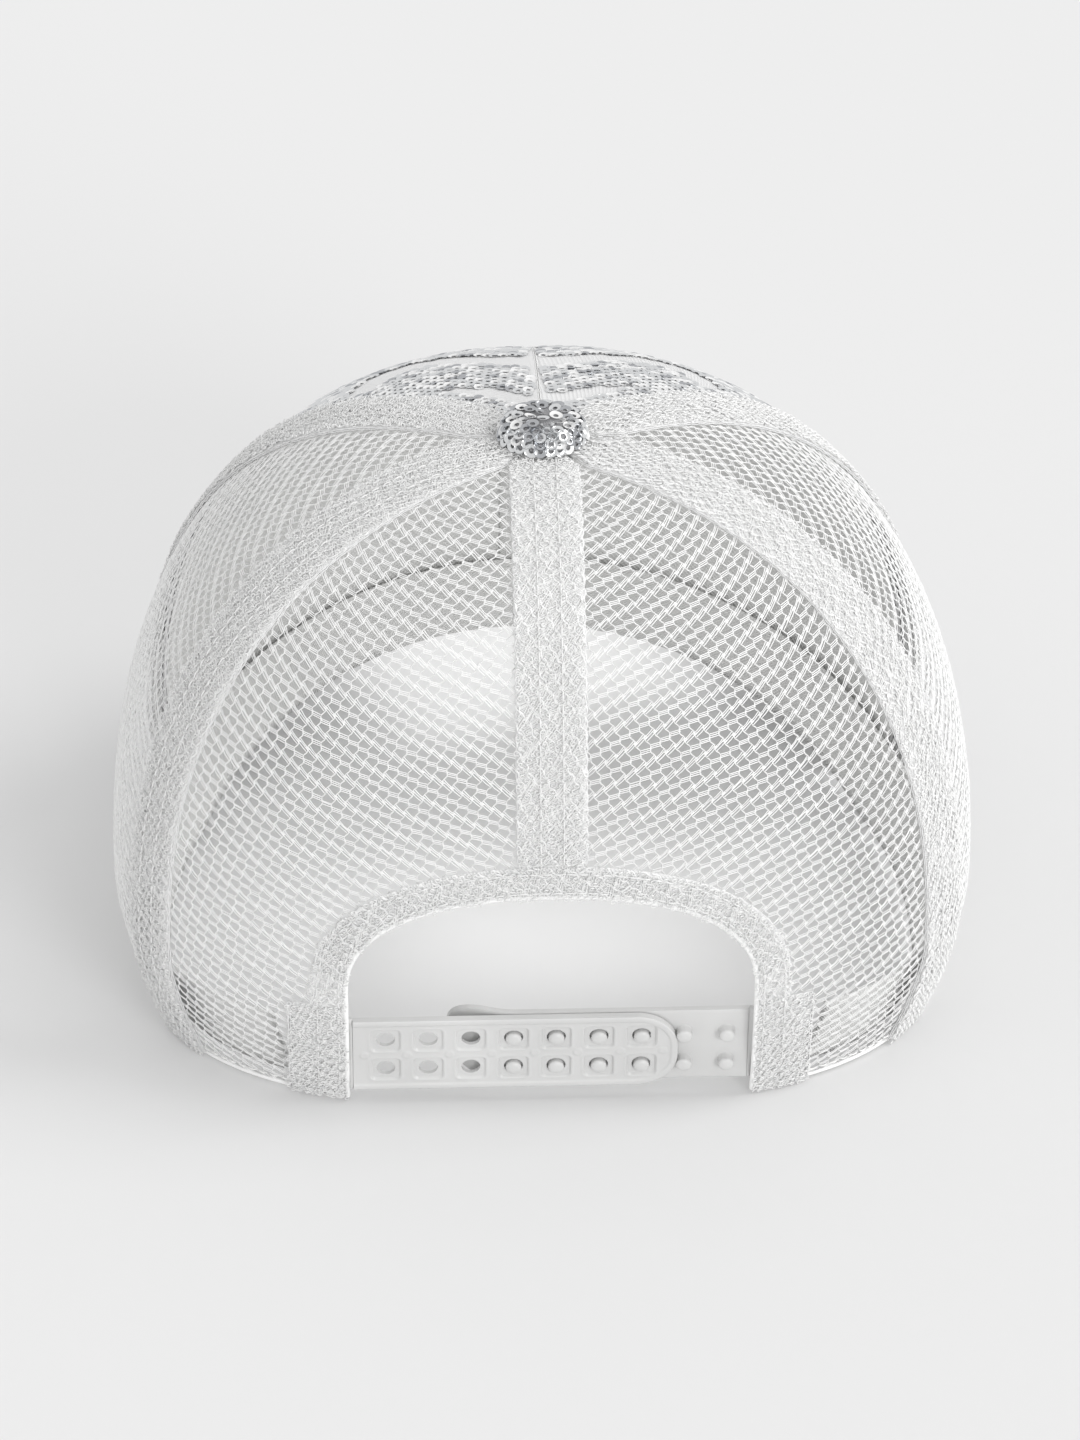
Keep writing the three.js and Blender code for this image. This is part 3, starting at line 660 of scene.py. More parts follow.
def hem(patch, name):
    """The net's folded hem, rolled to a soft cord, with a row of stitches above it."""
    a = patch.low + (patch.high - patch.low) * np.linspace(0.004, 0.996, 70)
    foot = crown(a, rim_height(a) + 0.7)
    a = a[~((foot[:, 1] > 0) & (np.abs(foot[:, 0]) < ARCH_HALF + 0.4))]
    at, normal = off_crown(a, rim_height(a) + 0.75, -0.35)

    def line(share):
        b = a[0] + (a[-1] - a[0]) * share
        return off_crown(b, rim_height(b) + 3.2, 0.05)

    parts = [(*tubes(at[None], normal[None], 0.45, 8), 0)]
    parts.append((*stitches(line, int(run(at)[-1] / 2.6), 0.17), 1))
    yarn_piece(f"{name}_hem", parts, [DOUBLE_YARNS[0], STITCH[0]], "net")


def add_net_panels():
    for side_name, side in SIDES:
        for part, turn, lean in (("side", 1.0, 0.0), ("back", 0.4, 1.0)):
            patch = PATCHES[part, side]
            keep = on_panel(patch)
            name = f"{part}_mesh_{side_name}"
            flat, area = patch.area(keep)
            half = flat[0] / MM / 2 + 4
            # A growing angle runs to the right as seen from outside, so the left panels are the mirrored hand.
            obj = net_piece(
                f"{name}_net", patch, keep, -side, NET_LIFT, (-half, half, 0, patch.top), NET_YARNS, "net", name,
                turn=-side * turn * MESH_TURN, shift=(0.4, 0.9), lean=lean,
            )
            hem(patch, name)


add_net_panels()


# ---------- doubled net over the seams, round the rear opening and on the tabs ----------
def doubled_net(name, patch, keep, hand, box, lift, place, u, v, trim, rests, flat, area, trim_name=None, **options):
    """Two layers of net over a close-knit backing laid out by place(u, v, offset), with crimped loops on top.
    trim() gives the edge yarns and stitches."""
    outer = net_piece(
        f"{name}_net", patch, keep, hand, lift, box, DOUBLE_YARNS, "double_net", name,
        ruffle=2.5, chain_sides=2, **options,
    )
    (top, _), (bottom, _) = place(u, v, BACKING_TOP), place(u, v, BACKING_FOOT)
    under = cloth_piece(f"{name}_under", top, bottom, grid_uv(u, v), BACKING, "double_net")
    parts = curls(patch, keep, lift + CURL_LIFT, box) + trim()
    edges = yarn_piece(trim_name or f"{name}_edges", parts, [*DOUBLE_YARNS, STITCH[1]], "double_net")
    area = min(area, flat[0] * flat[1])


def strip_limit(half, z):
    """Half width of a strip on a seam: it narrows near the button, where the strips meet."""
    return np.minimum(half, HALF_WIDTH * width_share(z) * math.sin(BAND_MEETING) - 0.15)


def band_limit(patch, q):
    return strip_limit(BAND_HALF, patch.height(q))


def add_seam_band(name, seam, hand, low_z):
    reach = math.radians(34)
    patch = Patch(seam - reach, seam + reach, pad=0.1, reach=40)

    def keep(p, q):
        a, z = patch.angle(p, q), patch.height(q)
        at = crown(a, z)
        inside = (np.abs(p) < band_limit(patch, q)) & (z > rim_height(a) + low_z)
        inside &= np.hypot(at[..., 0], at[..., 1] - APEX_SHIFT) > BUTTON_RADIUS - 3.4
        return inside & ~((at[..., 1] > 0) & (z < arch_height(at[..., 0], BINDING + 0.1)))

    q = np.linspace(0, patch.top, 400)
    q = q[keep(np.zeros_like(q), q)]
    v = np.linspace(q[0] + 0.2, q[-1], 150)[:, None]
    u = (band_limit(patch, v) - 0.25) * np.linspace(-1, 1, 9)[None, :]

    def trim():
        wobble = np.random.default_rng(int(RANDOM.integers(1 << 30)))
        parts = []
        for sign in (-1, 1):
            for inset, lift in ((0.0, 0.0), (0.12, 0.32)):
                ripple = 0.12 * np.sin(q * 2.3 + sign) + wobble.normal(0, 0.04, len(q))
                rise = lift + 0.10 * np.cos(q * 2.3) + wobble.normal(0, 0.03, len(q))
                at, normal = patch.place(sign * (band_limit(patch, q) - inset) + ripple, q, rise)
                parts.append((*tubes(at[None], normal[None], 0.13, 4), 2))
        for sign in (-1, 1):
            def line(t, sign=sign):
                qq = q[0] + (q[-1] - q[0]) * t
                return patch.place(sign * np.minimum(2.4, band_limit(patch, qq) * 0.4), qq, 1.10)

            parts.append((*stitches(line, int((q[-1] - q[0]) / 2.7)), 3))
        return parts

    flat, area = patch.area(keep)
    box = (-BAND_HALF, BAND_HALF, 0, patch.top)
    doubled_net(name, patch, keep, hand, box, BAND_LIFT, patch.place, u, v + 0 * u, trim, [name], flat, area,
                turn=0.10, shift=(0.2, 0.3))


for side_name, side in SIDES:
    add_seam_band(f"front_side_band_{side_name}", mirror(SEAM_SIDE, side), -side, HEM_RISE)
    add_seam_band(f"side_back_band_{side_name}", mirror(SEAM_REAR, side), -side, HEM_RISE)
add_seam_band("centre_back_band", SEAM_BACK, 1, 0.0)
REAR_PATCH = Patch(SEAM_BACK - 0.75, SEAM_BACK + 0.75, pad=0.05, reach=66)


def rear(x, z, offset):
    """Points and normals at an offset from the rear wall."""
    return off_crown(back_angle(x, z), z, offset)


def resampled(row, count):
    return np.interp(np.linspace(0, 1, count), np.linspace(0, 1, len(row)), row)


def arch_outline(margin, count):
    """The opening's outline from hem to hem, widened by a margin, in even steps."""
    t = np.linspace(0, np.pi, count)
    x = (ARCH_HALF + margin) * spow(np.cos(t), 2 / ARCH_ROUND)
    z = ARCH_SPRING + (ARCH_TOP - ARCH_SPRING + margin) * np.abs(np.sin(t)) ** (2 / ARCH_ROUND)
    leg = np.linspace(HEM_RISE + 0.2, ARCH_SPRING - 0.5, 40)
    x = np.concatenate([np.full(40, ARCH_HALF + margin), x, np.full(40, -ARCH_HALF - margin)])
    z = np.concatenate([leg, z, leg[::-1]])
    step = run(np.stack([x, z], -1))
    even = np.linspace(0, step[-1], count * 2)
    return np.interp(even, step, x), np.interp(even, step, z)


def add_arch_binding():
    def ring(p, q):
        a, z = REAR_PATCH.angle(p, q), REAR_PATCH.height(q)
        x = crown(a, z)[..., 0]
        return (z > TAB_TOP + 0.2) & (z < arch_height(x, BINDING)) & (z > arch_height(x, 0.1))

    rows = [arch_outline(margin, 130) for margin in np.linspace(0.35, BINDING - 0.3, 7)]
    above_tabs = np.abs(np.linspace(-1, 1, 240)) < 0.62
    x, z = (np.array([resampled(row[i], 240) for row in rows])[:, above_tabs] for i in range(2))

    def trim():
        """The folded edge follows the opening from hem to hem; two rows of stitches run beside it."""
        at, normal = rear(*arch_outline(0.5, 130), 0.15)
        parts = [(*tubes(at[None], normal[None], 0.55, 10), 0)]
        for margin in (1.9, 6.4):
            def line(t, outline=arch_outline(margin, 160)):
                share = np.linspace(0, 1, len(outline[0]))
                return rear(*(np.interp(t, share, row) for row in outline), 1.05)

            parts.append((*stitches(line, 76), 3))
        return parts

    _, area = REAR_PATCH.area(ring)
    # Cut as a strip of the binding's width with 1 mm turned under along each edge
    strip = (area / (BINDING * MM), (BINDING + 2) * MM)
    doubled_net("arch_binding", REAR_PATCH, ring, 1, (-54, 54, 20, 80), BINDING_LIFT, rear, x, z, trim,
                ["back_mesh_left", "back_mesh_right"], strip, area, "arch_edge_fold", turn=0.5)


def add_tab(side_name, side):
    def keep(p, q):
        a, z = REAR_PATCH.angle(p, q), REAR_PATCH.height(q)
        x = crown(a, z)[..., 0] * side
        return (x > ARCH_HALF + 0.2) & (x < ARCH_HALF + TAB_WIDTH) & (z > HEM_RISE) & (z < TAB_TOP + 0.3)

    def place(x, z, offset):
        return rear(side * x, z, offset)

    def trim():
        parts, z = [], np.linspace(HEM_RISE, TAB_TOP, 60)
        for inset, radius in ((0.25, 0.18), (0.7, 0.16)):
            at, normal = place(ARCH_HALF + TAB_WIDTH - inset, z, 0.62)
            parts.append((*tubes(at[None], normal[None], radius, 4), 2))
        for height in (HEM_RISE + 0.5, 2.9):
            def line(t, height=height):
                return place(ARCH_HALF + 0.8 + (TAB_WIDTH - 1.4) * t, height, 1.02)

            parts.append((*stitches(line, 5), 3))
        return parts

    x = np.linspace(ARCH_HALF + 0.3, ARCH_HALF + TAB_WIDTH - 0.2, 12)[None, :]
    z = np.linspace(HEM_RISE + 0.1, TAB_TOP, 24)[:, None] + 0 * x
    box = (30, 66, 0, 34) if side < 0 else (-66, -30, 0, 34)
    doubled_net(f"rear_tab_{side_name}", REAR_PATCH, keep, -side, box, BINDING_LIFT, place, x + 0 * z, z, trim,
                [f"back_mesh_{side_name}"], *REAR_PATCH.area(keep), turn=0.08, shift=(0.5, 0.2))


add_arch_binding()
for side_name, side in SIDES:
    add_tab(side_name, side)


# ---------- front panels: satin twill, sequins in soft bands, buckram and seam tape behind ----------
SATIN_LAYER, BUCKRAM_LAYER = (-1.0, -0.35), (-2.3, -1.3)
SEQUIN_STEP, SEQUIN_ROW, SEQUIN_LIFT = 2.05, 1.75, -0.2
SEAM_SEQUINS, UNDER_BAND = 4.5, 6.2
BUTTON_ROWS = ((1, 0.97), (6, 0.85), (11, 0.70), (17, 0.54), (21, 0.38), (24, 0.22), (26, 0.07))


def panel_cloth(node_name, patch, rows, columns, layer, material, slot, margin=0.2):
    """A front panel's cloth or lining, from its seams to the hem and the button's shank."""
    u, v = np.linspace(0, 1, columns)[None, :], np.linspace(0, 1, rows)[:, None]
    guess = patch.low + (patch.high - patch.low) * u
    q = patch.climbed(climb(guess, v + 0 * u, 0.0, SHANK_HOLE))
    low, high = patch.sides(q)
    p = (low + margin) * (1 - u) + (high - margin) * u
    (inner, _), (outer, _) = (patch.place(p, q, offset) for offset in layer)
    obj = cloth_piece(f"{node_name}_cloth", outer, inner, grid_uv(p, q), material, slot, node_name)
    flat = (np.ptp(p) * MM, np.ptp(q) * MM)
    area = min(grid_area(outer), flat[0] * flat[1])


def sequin_rings(at, normal, along, radius, tilt, tone, cup=0.22, segments=10):
    """Cupped ring sequins: at, normal and along are (n, 3), in mm; tilt lifts one side of each."""
    side = unit(np.cross(normal, along))
    along = np.cross(side, normal)
    lean = unit(normal + along * np.sin(tilt)[:, None])
    forward = unit(np.cross(side, lean))
    turn = 2 * np.pi * np.arange(segments) / segments
    rings = []
    for share, lift in ((0.40, 0.02), (0.62, -0.10), (1.0, cup)):
        c, s = np.cos(turn)[None, :, None] * share, np.sin(turn)[None, :, None] * share
        flat = at[:, None] + radius[:, None, None] * (c * side[:, None] + s * forward[:, None])
        rings.append(flat + lean[:, None] * lift)
    i = np.arange(segments)
    nxt = (i + 1) % segments
    quad = np.stack([i, nxt, nxt + segments, i + segments], -1)
    faces = np.concatenate([quad, quad + segments])[None] + np.arange(len(at))[:, None, None] * 3 * segments
    return np.stack(rings, 1).reshape(-1, 3), faces.reshape(-1, 4), np.repeat(tone, len(faces[0]))


def sequin_cover(p, q):
    """How far inside a sequinned band a point of the front lies: bands sweep across it in soft waves."""
    wave = q + 9 * np.sin(p / 17.0 + 0.6) + 5 * np.sin(p / 8.0 - q / 31.0)
    return np.sin(2 * np.pi * wave / 34.0) + 0.42


def front_sequins(name, patch, side):
    keep = on_panel(patch, above_hem=1.6, inset=1.3)
    rng = np.random.default_rng(int(RANDOM.integers(1 << 30)))
    p, q = np.meshgrid(np.arange(-66, 66, SEQUIN_STEP), np.arange(0, patch.top, SEQUIN_ROW))
    p = p + (np.arange(len(p)) % 2)[:, None] * SEQUIN_STEP / 2
    p, q = p + rng.normal(0, 0.14, p.shape), q + rng.normal(0, 0.12, q.shape)
    low, high = patch.sides(q)
    # The front-side seam is on the high side of the left panel and on the low side of the right one. Sequins
    # fill the bands and a strip along that seam, up to a little way under the doubled net.
    from_seam = high - p if side > 0 else p - low
    covered = (sequin_cover(p * side, q) > 0) | (from_seam < BAND_HALF + SEAM_SEQUINS)
    inside = keep(p, q) & covered & (from_seam > UNDER_BAND)
    p, q = p[inside], q[inside]
    (at, normal), (up, _) = patch.place(p, q, SEQUIN_LIFT), patch.place(p, q + 0.5, SEQUIN_LIFT)
    # The third tone is the painted dark reflection.
    tone = rng.choice(3, size=len(p), p=[0.5, 0.36, 0.14])
    tilt = rng.normal(0.12, 0.06, len(p))
    radius = rng.normal(1.25, 0.05, len(p))
    yarn_piece(name, [sequin_rings(at, normal, unit(up - at), radius, tilt, tone)], SEQUINS, "sequin")


def add_front_seam():
    """Seam tape down the inside of the centre-front seam, its two rows of stitches, and the seam's fold outside."""
    seam = Patch(SEAM_FRONT - 0.5, SEAM_FRONT + 0.5, pad=0.05, reach=40)
    u, v = np.linspace(-1, 1, 9)[None, :], np.linspace(0, 1, 60)[:, None]
    z = climb(SEAM_FRONT, v, HEM_RISE, 7.0)
    p, q = strip_limit(TAPE_HALF, z) * u, seam.climbed(z) + 0 * u
    (outer, _), (inner, _) = seam.place(p, q, -2.6 + 0.15 * np.cos(np.pi * u / 2)), seam.place(p, q, -3.3)
    uv = grid_uv(p, q)
    tape = cloth_piece("centre_front_tape_cloth", outer, inner, uv, TAPE, "twill", "centre_front_tape")
    q = np.linspace(seam.climbed(rim_height(SEAM_FRONT) + 1.0), seam.top - 10, 260)
    parts = []
    for x in (-0.20, 0.20):
        at, normal = seam.place(x + 0.08 * np.sin(q * 2.4), q, -0.38)
        parts.append((*tubes(at[None], normal[None], 0.15, 6), 1))
    for x in (-4.6, 4.6):
        def line(t, x=x):
            at, normal = seam.place(x, q[0] + 2 + (q[-1] - q[0] - 12) * t, -3.45)
            return at, -normal

        parts.append((*stitches(line, 62), 0))
    yarn_piece("centre_front_seam", parts, STITCH, "twill")


for side_name, side in SIDES:
    front = PATCHES["front", side]
    panel_cloth(f"front_panel_{side_name}", front, 60, 40, SATIN_LAYER, SATIN, "sequin")
    panel_cloth(f"front_lining_{side_name}", front, 40, 28, BUCKRAM_LAYER, BUCKRAM, "lining", margin=0.6)
    front_sequins(f"front_panel_{side_name}_sequins", front, side)
add_front_seam()


# ---------- sweatband ----------
def add_sweatband():
    deep = SWEATBAND_TOP - HEM_RISE
    end = float(back_angle(ARCH_HALF + TAB_WIDTH + 3, 10.0))
    start = np.pi - end - 2 * np.pi

    def wall(share, up, offset):
        a = start + (end - start) * share
        return off_crown(a, rim_height(a) + HEM_RISE + deep * up, offset)

    u, v = np.linspace(0, 1, 220)[None, :], np.linspace(0, 1, 9)[:, None]
    (outer, _), (inner, _) = wall(u, v, -3.75 - 0.25 * np.sin(np.pi * v)), wall(u, v, -4.75)
    length = run(outer[4])[-1]
    band = cloth_piece("sweatband_cloth", outer, inner, grid_uv(u * length, deep * v), TWILL, "twill", "sweatband")
    parts = []
    for up in (0.10, 0.90):
        def line(t, up=up):
            at, normal = wall(0.004 + 0.992 * t, up, -4.78)
            return at, -normal

        parts.append((*stitches(line, 190), 0))
    thread = yarn_piece("sweatband_stitches", parts, [STITCH[0]], "twill")


add_sweatband()


# ---------- visor ----------
def hem_point(a, z, offset):
    return crown(a, z) + unit(crown_normal(a, z) * [1, 1, 0]) * offset


def visor_point(across, outward, offset):
    a = SEAM_FRONT + across * VISOR_ANGLE
    inner = hem_point(a, rim_height(a), VISOR_STANDOFF)
    corner = hem_point(SEAM_FRONT + VISOR_ANGLE, 0.0, VISOR_STANDOFF)
    middle = hem_point(SEAM_FRONT, rim_height(SEAM_FRONT), VISOR_STANDOFF)
    tip, front = corner[1] - 3, middle[1] - VISOR_REACH
    swing = across * np.pi / 2
    x1 = (VISOR_HALF - 1) * spow(np.sin(swing), 0.92)
    y1 = tip + (front - tip) * np.maximum(np.cos(swing), 0) ** 0.85
    x = inner[..., 0] + (x1 - inner[..., 0]) * outward
    y = inner[..., 1] + (y1 - inner[..., 1]) * outward
    return np.stack([x, y, VISOR_STACK + rim_lift(x) + offset], -1)


def add_visor():
    first_row, row_step = 0.175, 0.145
    u, v = np.linspace(1, -1, 121)[None, :], np.linspace(0, 1, 34)[:, None]
    # The cloth draws down a little along each stitch row.
    quilt = -0.09 * np.cos(2 * np.pi * (v - 0.03) / row_step) ** 8 * (v > 0.1)
    for name, back, face, up in (("visor_top_cover", 0.3, 0.95, 1.0), ("visor_under_cover", -2.35, -3.1, -1.0)):
        outer, inner = visor_point(u, v, face + up * quilt), visor_point(u, v, back)
        cover = cloth_piece(f"{name}_cloth", outer, inner, outer[..., :2], TWILL, "twill", name)
        parts = []
        for k in range(6):
            def line(t, out=first_row + row_step * k, height=face - 0.02 * up, up=up):
                at = visor_point(0.985 * (1 - 2 * t), out, height)
                return at, np.zeros(at.shape) + [0, 0, up]

            parts.append((*stitches(line, 58 + 12 * k), 0))
        thread = yarn_piece(f"{name}_stitches", parts, [STITCH[0]], "twill")
        flat = (2 * VISOR_HALF * MM, np.ptp(outer[..., 1]) * MM)
        area = min(grid_area(outer), flat[0] * flat[1])
    # Turned edge of the cover cloth, wrapped round the rim of the board
    t = np.linspace(0.996, -0.996, 180)
    middle = visor_point(t, 0.999, -1.0)
    outward = unit(visor_point(t, 1.0, 0) - visor_point(t, 0.97, 0))
    share = np.linspace(-1, 1, 9)[:, None, None]
    outer = middle + [0, 0, 1] * (share * 1.55) + outward * (0.75 * np.sqrt(1 - share**2) - 0.55)
    step = run(middle)
    uv = grid_uv(step[None], np.linspace(0, 4, 9)[:, None])
    wrap = cloth_piece("visor_edge_wrap", outer, outer - outward * 0.45, uv, TWILL, "twill")
    flat, area = (step[-1] * MM, 0.0115), step[-1] * MM * 0.0045


add_visor()


# ---------- button ----------
def button_side(share):
    """Radius and height of the button's cloth at a share of the way from its rim to its top."""
    swing = share * np.pi / 2
    radius = (BUTTON_RADIUS - 0.5) * np.maximum(np.cos(swing), 1e-4) ** 0.7
    return radius, np.sin(swing) ** 0.9 * (BUTTON_HEIGHT - 0.55)


def add_button():
    base = HEIGHT + 1.4
    steps, turn = np.linspace(0, 1, 14), np.linspace(0, 2 * np.pi, 49)
    reach, lift = button_side(steps)
    reach[-1] = 0.02
    crease = 1 + 0.012 * np.sin(9 * turn)[None, :] * (1 - steps)[:, None]

    def dome(shrink):
        r = np.maximum(reach[:, None] - shrink, 0.01) * crease
        z = base + np.maximum(lift[:, None] - shrink, 0.0) + 0 * r
        return np.stack([r * np.cos(turn), r * np.sin(turn) + APEX_SHIFT, z], -1)

    uv = grid_uv(turn * 6, lift[:, None] * 2)
    cover = cloth_piece("button_cover_cloth", dome(0.0), dome(0.7), uv, BUTTON_CLOTH, "sequin", "button_cover")
    rng = np.random.default_rng(int(RANDOM.integers(1 << 30)))
    places = []
    for k, (count, share) in enumerate(BUTTON_ROWS):
        for i in range(count):
            a = 2 * np.pi * (i + 0.5 * (k % 2)) / count + rng.normal(0, 0.03)
            places.append((a, share + rng.normal(0, 0.012)))
    a, share = np.array(places).T

    def on_dome(share):
        r, h = button_side(share)
        return np.stack([r * np.cos(a), r * np.sin(a) + APEX_SHIFT, base + h], -1)

    share = np.clip(share, 0.04, 0.985)
    at, above = on_dome(share), on_dome(np.minimum(share + 0.02, 0.999))
    up = unit(above - at)
    normal = unit(np.cross(np.stack([-np.sin(a), np.cos(a), 0 * a], -1), up))
    # The third tone is the painted dark reflection; a third of the button's sequins take it.
    tone = rng.choice(3, size=len(a), p=[0.42, 0.24, 0.34])
    tilt = rng.normal(0.24, 0.15, len(a))
    at = at + normal * (0.22 + rng.uniform(0, 0.12, len(a)))[:, None]
    radius = rng.normal(1.38, 0.07, len(a))
    yarn_piece("button_sequins", [sequin_rings(at, normal, up, radius, tilt, tone, 0.26, 18)], SEQUINS, "sequin")


add_button()


# ---------- snap strap ----------
def strap_half(x, root, end):
    """Half height of the strap at x: full, then rounded towards the free end."""
    toward = math.copysign(1, end - root)
    into = np.clip(toward * (x - end) + STRAP_ROUND, 0, STRAP_ROUND)
    return STRAP_HALF - STRAP_ROUND + np.sqrt(np.maximum(STRAP_ROUND**2 - into**2, 0))


def smooth_step(v, low, high):
    t = np.clip((v - low) / (high - low), 0, 1)
    return t * t * (3 - 2 * t)


def strap_points(local):
    """Local strap coordinates in mm (x from the root end to the free end, y up, z out) in metres in the row frame."""
    local = np.asarray(local, float) * MM
    return STRAP_ORIGIN - local[..., :1] * [1.0, 0, 0] + local[..., 1:2] * STRAP_UP + local[..., 2:] * STRAP_OUT


def snap_centres(first, pairs):
    return [(FIRST_HOLE + PITCH * i, row * ROW) for i in range(first, first + pairs) for row in (-1, 1)]


def plate(root, end, face, height_of, holes, cell=0.21):
    """A moulded plate: an even grid on both faces, its points drawn on to the rims of the holes."""
    span = end - root
    columns = int(abs(span) / cell) + 1
    rows = int(2 * STRAP_HALF / cell) + 1
    share = np.linspace(0, 1, columns)
    share = np.where(share > 0.9, 0.9 + 0.1 * np.sin((share - 0.9) / 0.1 * np.pi / 2), share)
    x = root + span * share
    half = strap_half(x, root, end)
    y = np.linspace(-1, 1, rows)[:, None] * half[None, :]
    x = np.broadcast_to(x[None, :], y.shape).copy()
    inside = np.zeros(y.shape, bool)
    for cx, cy in holes:
        dx, dy = x - cx, y - cy
        d = np.hypot(dx, dy)
        near = np.abs(d - HOLE_R) < cell * 0.62
        k = np.where(near, HOLE_R / np.maximum(d, 1e-6), 1)
        x, y = cx + dx * k, cy + dy * k
        inside |= (d * k) < HOLE_R + 1e-6
    top = np.stack([x, y, face + height_of(x, y)], -1).reshape(-1, 3)
    bottom = np.stack([x, y, np.full(x.shape, face - STRAP_THICK)], -1).reshape(-1, 3)
    quads = grid_faces(rows, columns)
    quads = quads[~inside.ravel()[quads].all(1)]
    if span < 0:
        quads = quads[:, ::-1]
    n = len(top)
    edges = np.concatenate([quads[:, [i, (i + 1) % 4]] for i in range(4)])
    key = np.sort(edges, 1) @ [n, 1]
    _, first, count = np.unique(key, return_index=True, return_counts=True)
    open_edges = edges[first[count == 1]]
    walls = np.stack([open_edges[:, 1], open_edges[:, 0], open_edges[:, 0] + n, open_edges[:, 1] + n], 1)
    return np.concatenate([top, bottom]), [quads, quads[:, ::-1] + n, walls]


def rounded_square(dx, dy, side, corner):
    """Distance outside a rounded square, negative within it."""
    ox, oy = np.abs(dx) - (side / 2 - corner), np.abs(dy) - (side / 2 - corner)
    return np.hypot(np.maximum(ox, 0), np.maximum(oy, 0)) + np.minimum(np.maximum(ox, oy), 0) - corner


def edge_distance(x, y, root, end):
    """Distance in from the strap's outline, long edges and rounded free end."""
    toward = math.copysign(1, end - root)
    straight = STRAP_HALF - np.abs(y)
    cx, cy = end - toward * STRAP_ROUND, STRAP_HALF - STRAP_ROUND
    beyond = toward * (x - cx) > 0
    corner = STRAP_ROUND - np.hypot(x - cx, np.maximum(np.abs(y) - cy, 0))
    return np.where(beyond, np.minimum(corner, toward * (end - x)), straight)


def female_height(x, y):
    inward = edge_distance(x, y, -STRAP_ROOT, FEMALE_END)
    h = 0.33 * (1 - smooth_step(inward, 1.15, 1.75))
    h -= 0.22 * (1 - smooth_step(inward, 0.0, 0.45)) ** 2
    for cx, cy in snap_centres(0, HOLE_PAIRS):
        d = rounded_square(x - cx, y - cy, 6.5, 1.1)
        h = h - 0.50 * (1 - smooth_step(d, -0.35, 0.02))
        h = h + 0.10 * np.exp(-((d - 0.25) / 0.24) ** 2)
        h = h + 0.10 * np.exp(-((np.hypot(x - cx, y - cy) - HOLE_R - 0.25) / 0.28) ** 2)
    for i in range(-1, HOLE_PAIRS):
        r = np.hypot(x - (FIRST_HOLE + PITCH * (i + 0.5)), y)
        h = h + 0.16 * (1 - smooth_step(r, 0.75, 1.25))
    return h


def male_height(x, y):
    inward = edge_distance(x, y, STRAP_ROOT, -MALE_END)
    return -0.15 * (1 - smooth_step(inward, 0.0, 0.5)) ** 2


def studs(face):
    """Round-headed studs standing on the inner strap."""
    points, faces, base, sides = [], [], 0, 28
    profile = [
        (STUD_R + 0.18, -0.05), (STUD_R + 0.05, 0.1), (STUD_R - 0.02, 0.35),
        (STUD_R - 0.05, STUD_HEIGHT - 0.95), (STUD_R + 0.03, STUD_HEIGHT - 0.75),
        (STUD_R - 0.02, STUD_HEIGHT - 0.5), (STUD_R * 0.86, STUD_HEIGHT - 0.24),
        (STUD_R * 0.6, STUD_HEIGHT - 0.09), (STUD_R * 0.3, STUD_HEIGHT - 0.02), (0.03, STUD_HEIGHT),
    ]
    i = np.arange(sides)
    turn = 2 * np.pi * i / sides
    r, h = (np.array(profile)[:, k, None] for k in range(2))
    for cx, cy in snap_centres(FIRST_STUD, STUD_PAIRS):
        rings = np.stack([cx + r * np.cos(turn), cy + r * np.sin(turn), face + h + 0 * turn], -1)
        points.append(rings.reshape(-1, 3))
        for k in range(len(profile) - 1):
            a, b = base + k * sides + i, base + k * sides + (i + 1) % sides
            faces.append(np.stack([a, b, b + sides, a + sides], 1))
        base += len(profile) * sides
    return np.concatenate(points), np.concatenate(faces)


def add_straps():
    points, faces = plate(-STRAP_ROOT, FEMALE_END, 0.0, female_height, snap_centres(0, HOLE_PAIRS))
    female = make_object("strap_female_moulding", strap_points(points), faces, [PLASTIC], sharp=40)
    finish_piece(female, "plastic", "strap_female", body="outer_strap")
    points, faces = plate(STRAP_ROOT, -MALE_END, MALE_FACE, male_height, [], 0.45)
    pegs, peg_faces = studs(MALE_FACE)
    faces = faces + [peg_faces + len(points)]
    points = np.concatenate([points, pegs])
    # The loose tip past the last closed snap springs inwards a little.
    loose = np.maximum(-7.0 - points[:, 0], 0)
    points = points + np.stack([0 * loose, 0.0086 * loose**2, -0.0165 * loose**2], -1)
    male = make_object("strap_male_moulding", strap_points(points), faces, [PLASTIC], sharp=40)
    finish_piece(male, "plastic", "strap_male", body="inner_strap")


def add_sewn_end(name, side, face):
    """The end of a strap under the seam: it leaves the strap's own plane and follows the crown's wall."""
    x = np.linspace(STRAP_ROOT + 0.22, ARCH_HALF + TAB_WIDTH - 2, 40)
    x, y = np.meshgrid(x, np.linspace(-STRAP_HALF, STRAP_HALF, 24))
    w = smooth_step(x, STRAP_ROOT + 0.3, STRAP_ROOT + 2.2)[..., None]
    layers = []
    for depth in (0.0, -STRAP_THICK):
        plane = strap_points(np.stack([-side * x, y, np.full(x.shape, face + depth)], -1)) / MM - [0, CENTRE_Y, 0]
        wall, _ = rear(side * x, plane[..., 2], -1.35 + depth)
        layers.append(plane * (1 - w) + wall * w)
    cloth_piece(f"{name}_moulding", *layers, grid_uv(x, y), PLASTIC, "plastic", name)


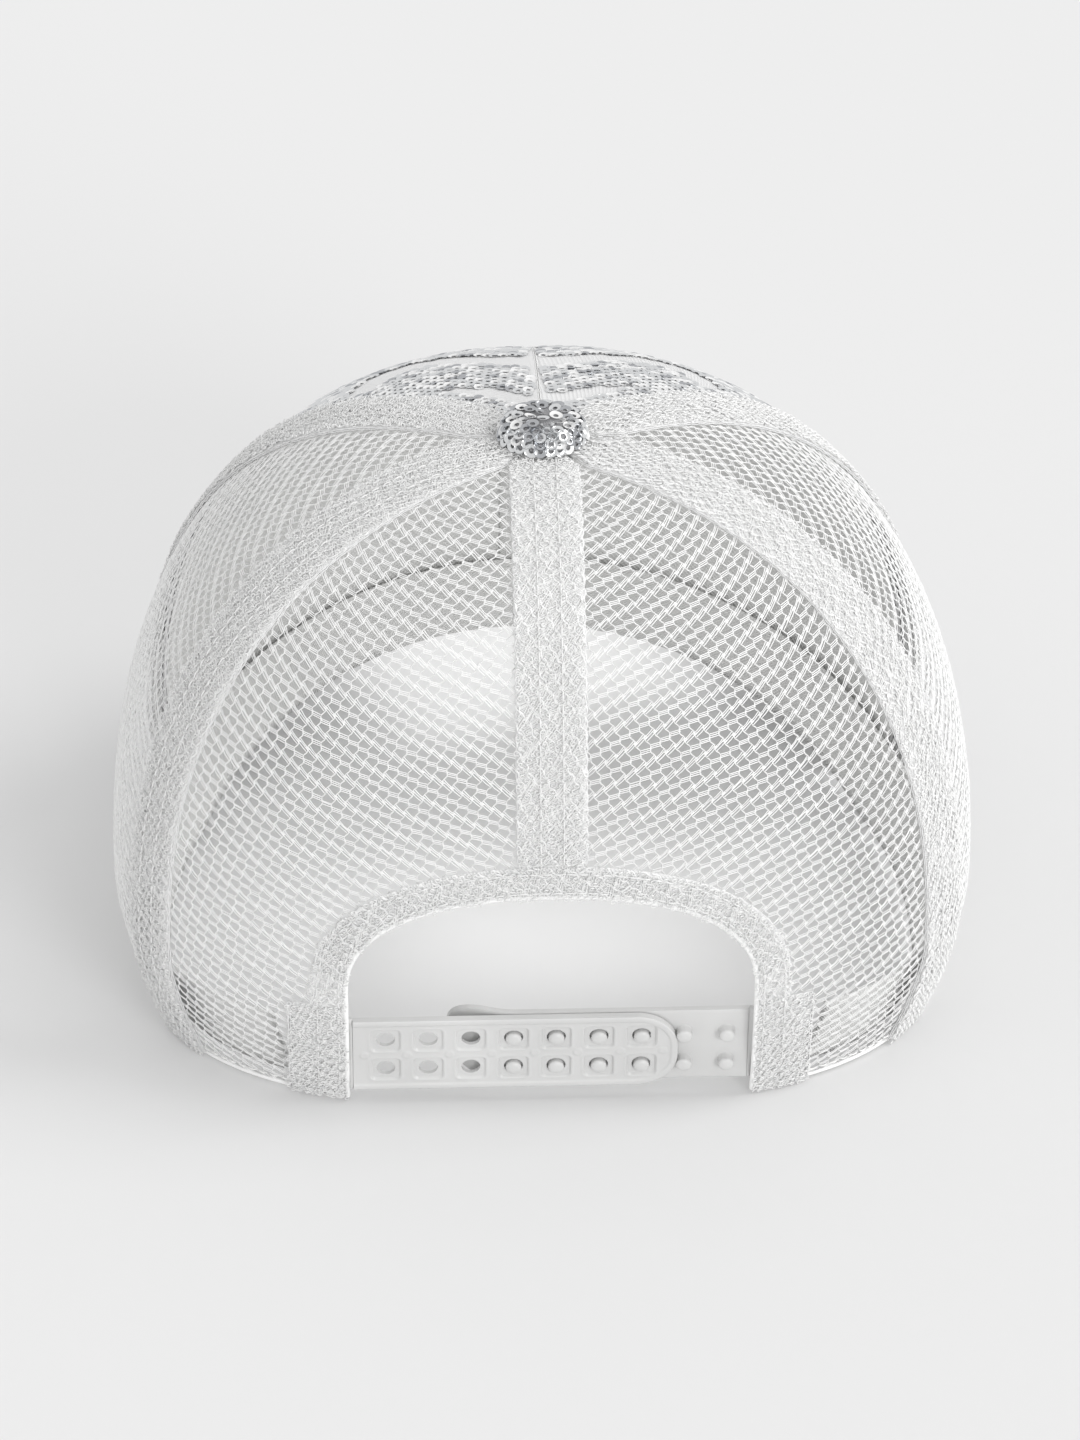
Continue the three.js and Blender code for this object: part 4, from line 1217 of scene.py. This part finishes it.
add_straps()
add_sewn_end("strap_female_sewn_end", 1, 0.0)
add_sewn_end("strap_male_sewn_end", -1, MALE_FACE)


# ---------- CAD nodes that keep their shape ----------
for name, material in (("visor_board", BOARD), ("button_shell", METAL), ("button_back_cap", METAL)):
    obj = frame["nodes"][name]
    for s in obj.material_slots:
        s.link = "OBJECT"
        s.material = material


# ---------- floor and light ----------
def add_stage():
    m, _, _ = principled(
        "floor", (0.69, 0.69, 0.69), 0.9,
        Specular_IOR_Level=0.0, Emission_Color=(1, 1, 1, 1), Emission_Strength=0.09,
    )
    size, drop = 60.0, 0.0002
    points = np.array([[x * size, y * size, -drop] for x, y in ((-1, -1), (1, -1), (1, 1), (-1, 1))])
    make_object("floor", points, np.array([[0, 1, 2, 3]]), [m])
    world = bpy.data.worlds.new("studio")
    world.use_nodes = True
    background = world.node_tree.nodes["Background"]
    background.inputs["Color"].default_value = (1, 1, 1, 1)
    background.inputs["Strength"].default_value = 0.80
    scene = bpy.context.scene
    scene.world = world
    scene.view_settings.view_transform = "Standard"
    scene.view_settings.look = "None"
    for name, direction, strength, angle in (
        ("key", (-0.75, 0.10, 0.75), 0.9, 30),
        ("front", (-0.45, 1.0, 0.40), 1.0, 20),
    ):
        light = bpy.data.lights.new(name, "SUN")
        light.energy, light.angle = strength, math.radians(angle)
        obj = bpy.data.objects.new(name, light)
        obj.rotation_euler = Vector(direction).to_track_quat("Z", "Y").to_euler()
        scene.collection.objects.link(obj)
    # Flat lamps close to the floor: one under the raised visor, seen under the front hem, and one behind the
    # rear opening.
    for name, y, z, size, size_y, turn, energy in (
        ("under_visor", CENTRE_Y - 130, 12.5, 0.078, 0.066, 20, 0.0095),
        ("under_crown", 52, 26, 0.074, 0.060, 0, 0.0075),
    ):
        light = bpy.data.lights.new(name, "AREA")
        light.shape, light.size, light.size_y, light.energy = "RECTANGLE", size, size_y, energy
        obj = bpy.data.objects.new(name, light)
        obj.location = (0, y * MM, z * MM)
        obj.rotation_euler = (0, 0, math.radians(turn))
        obj.visible_camera = False
        scene.collection.objects.link(obj)


add_stage()
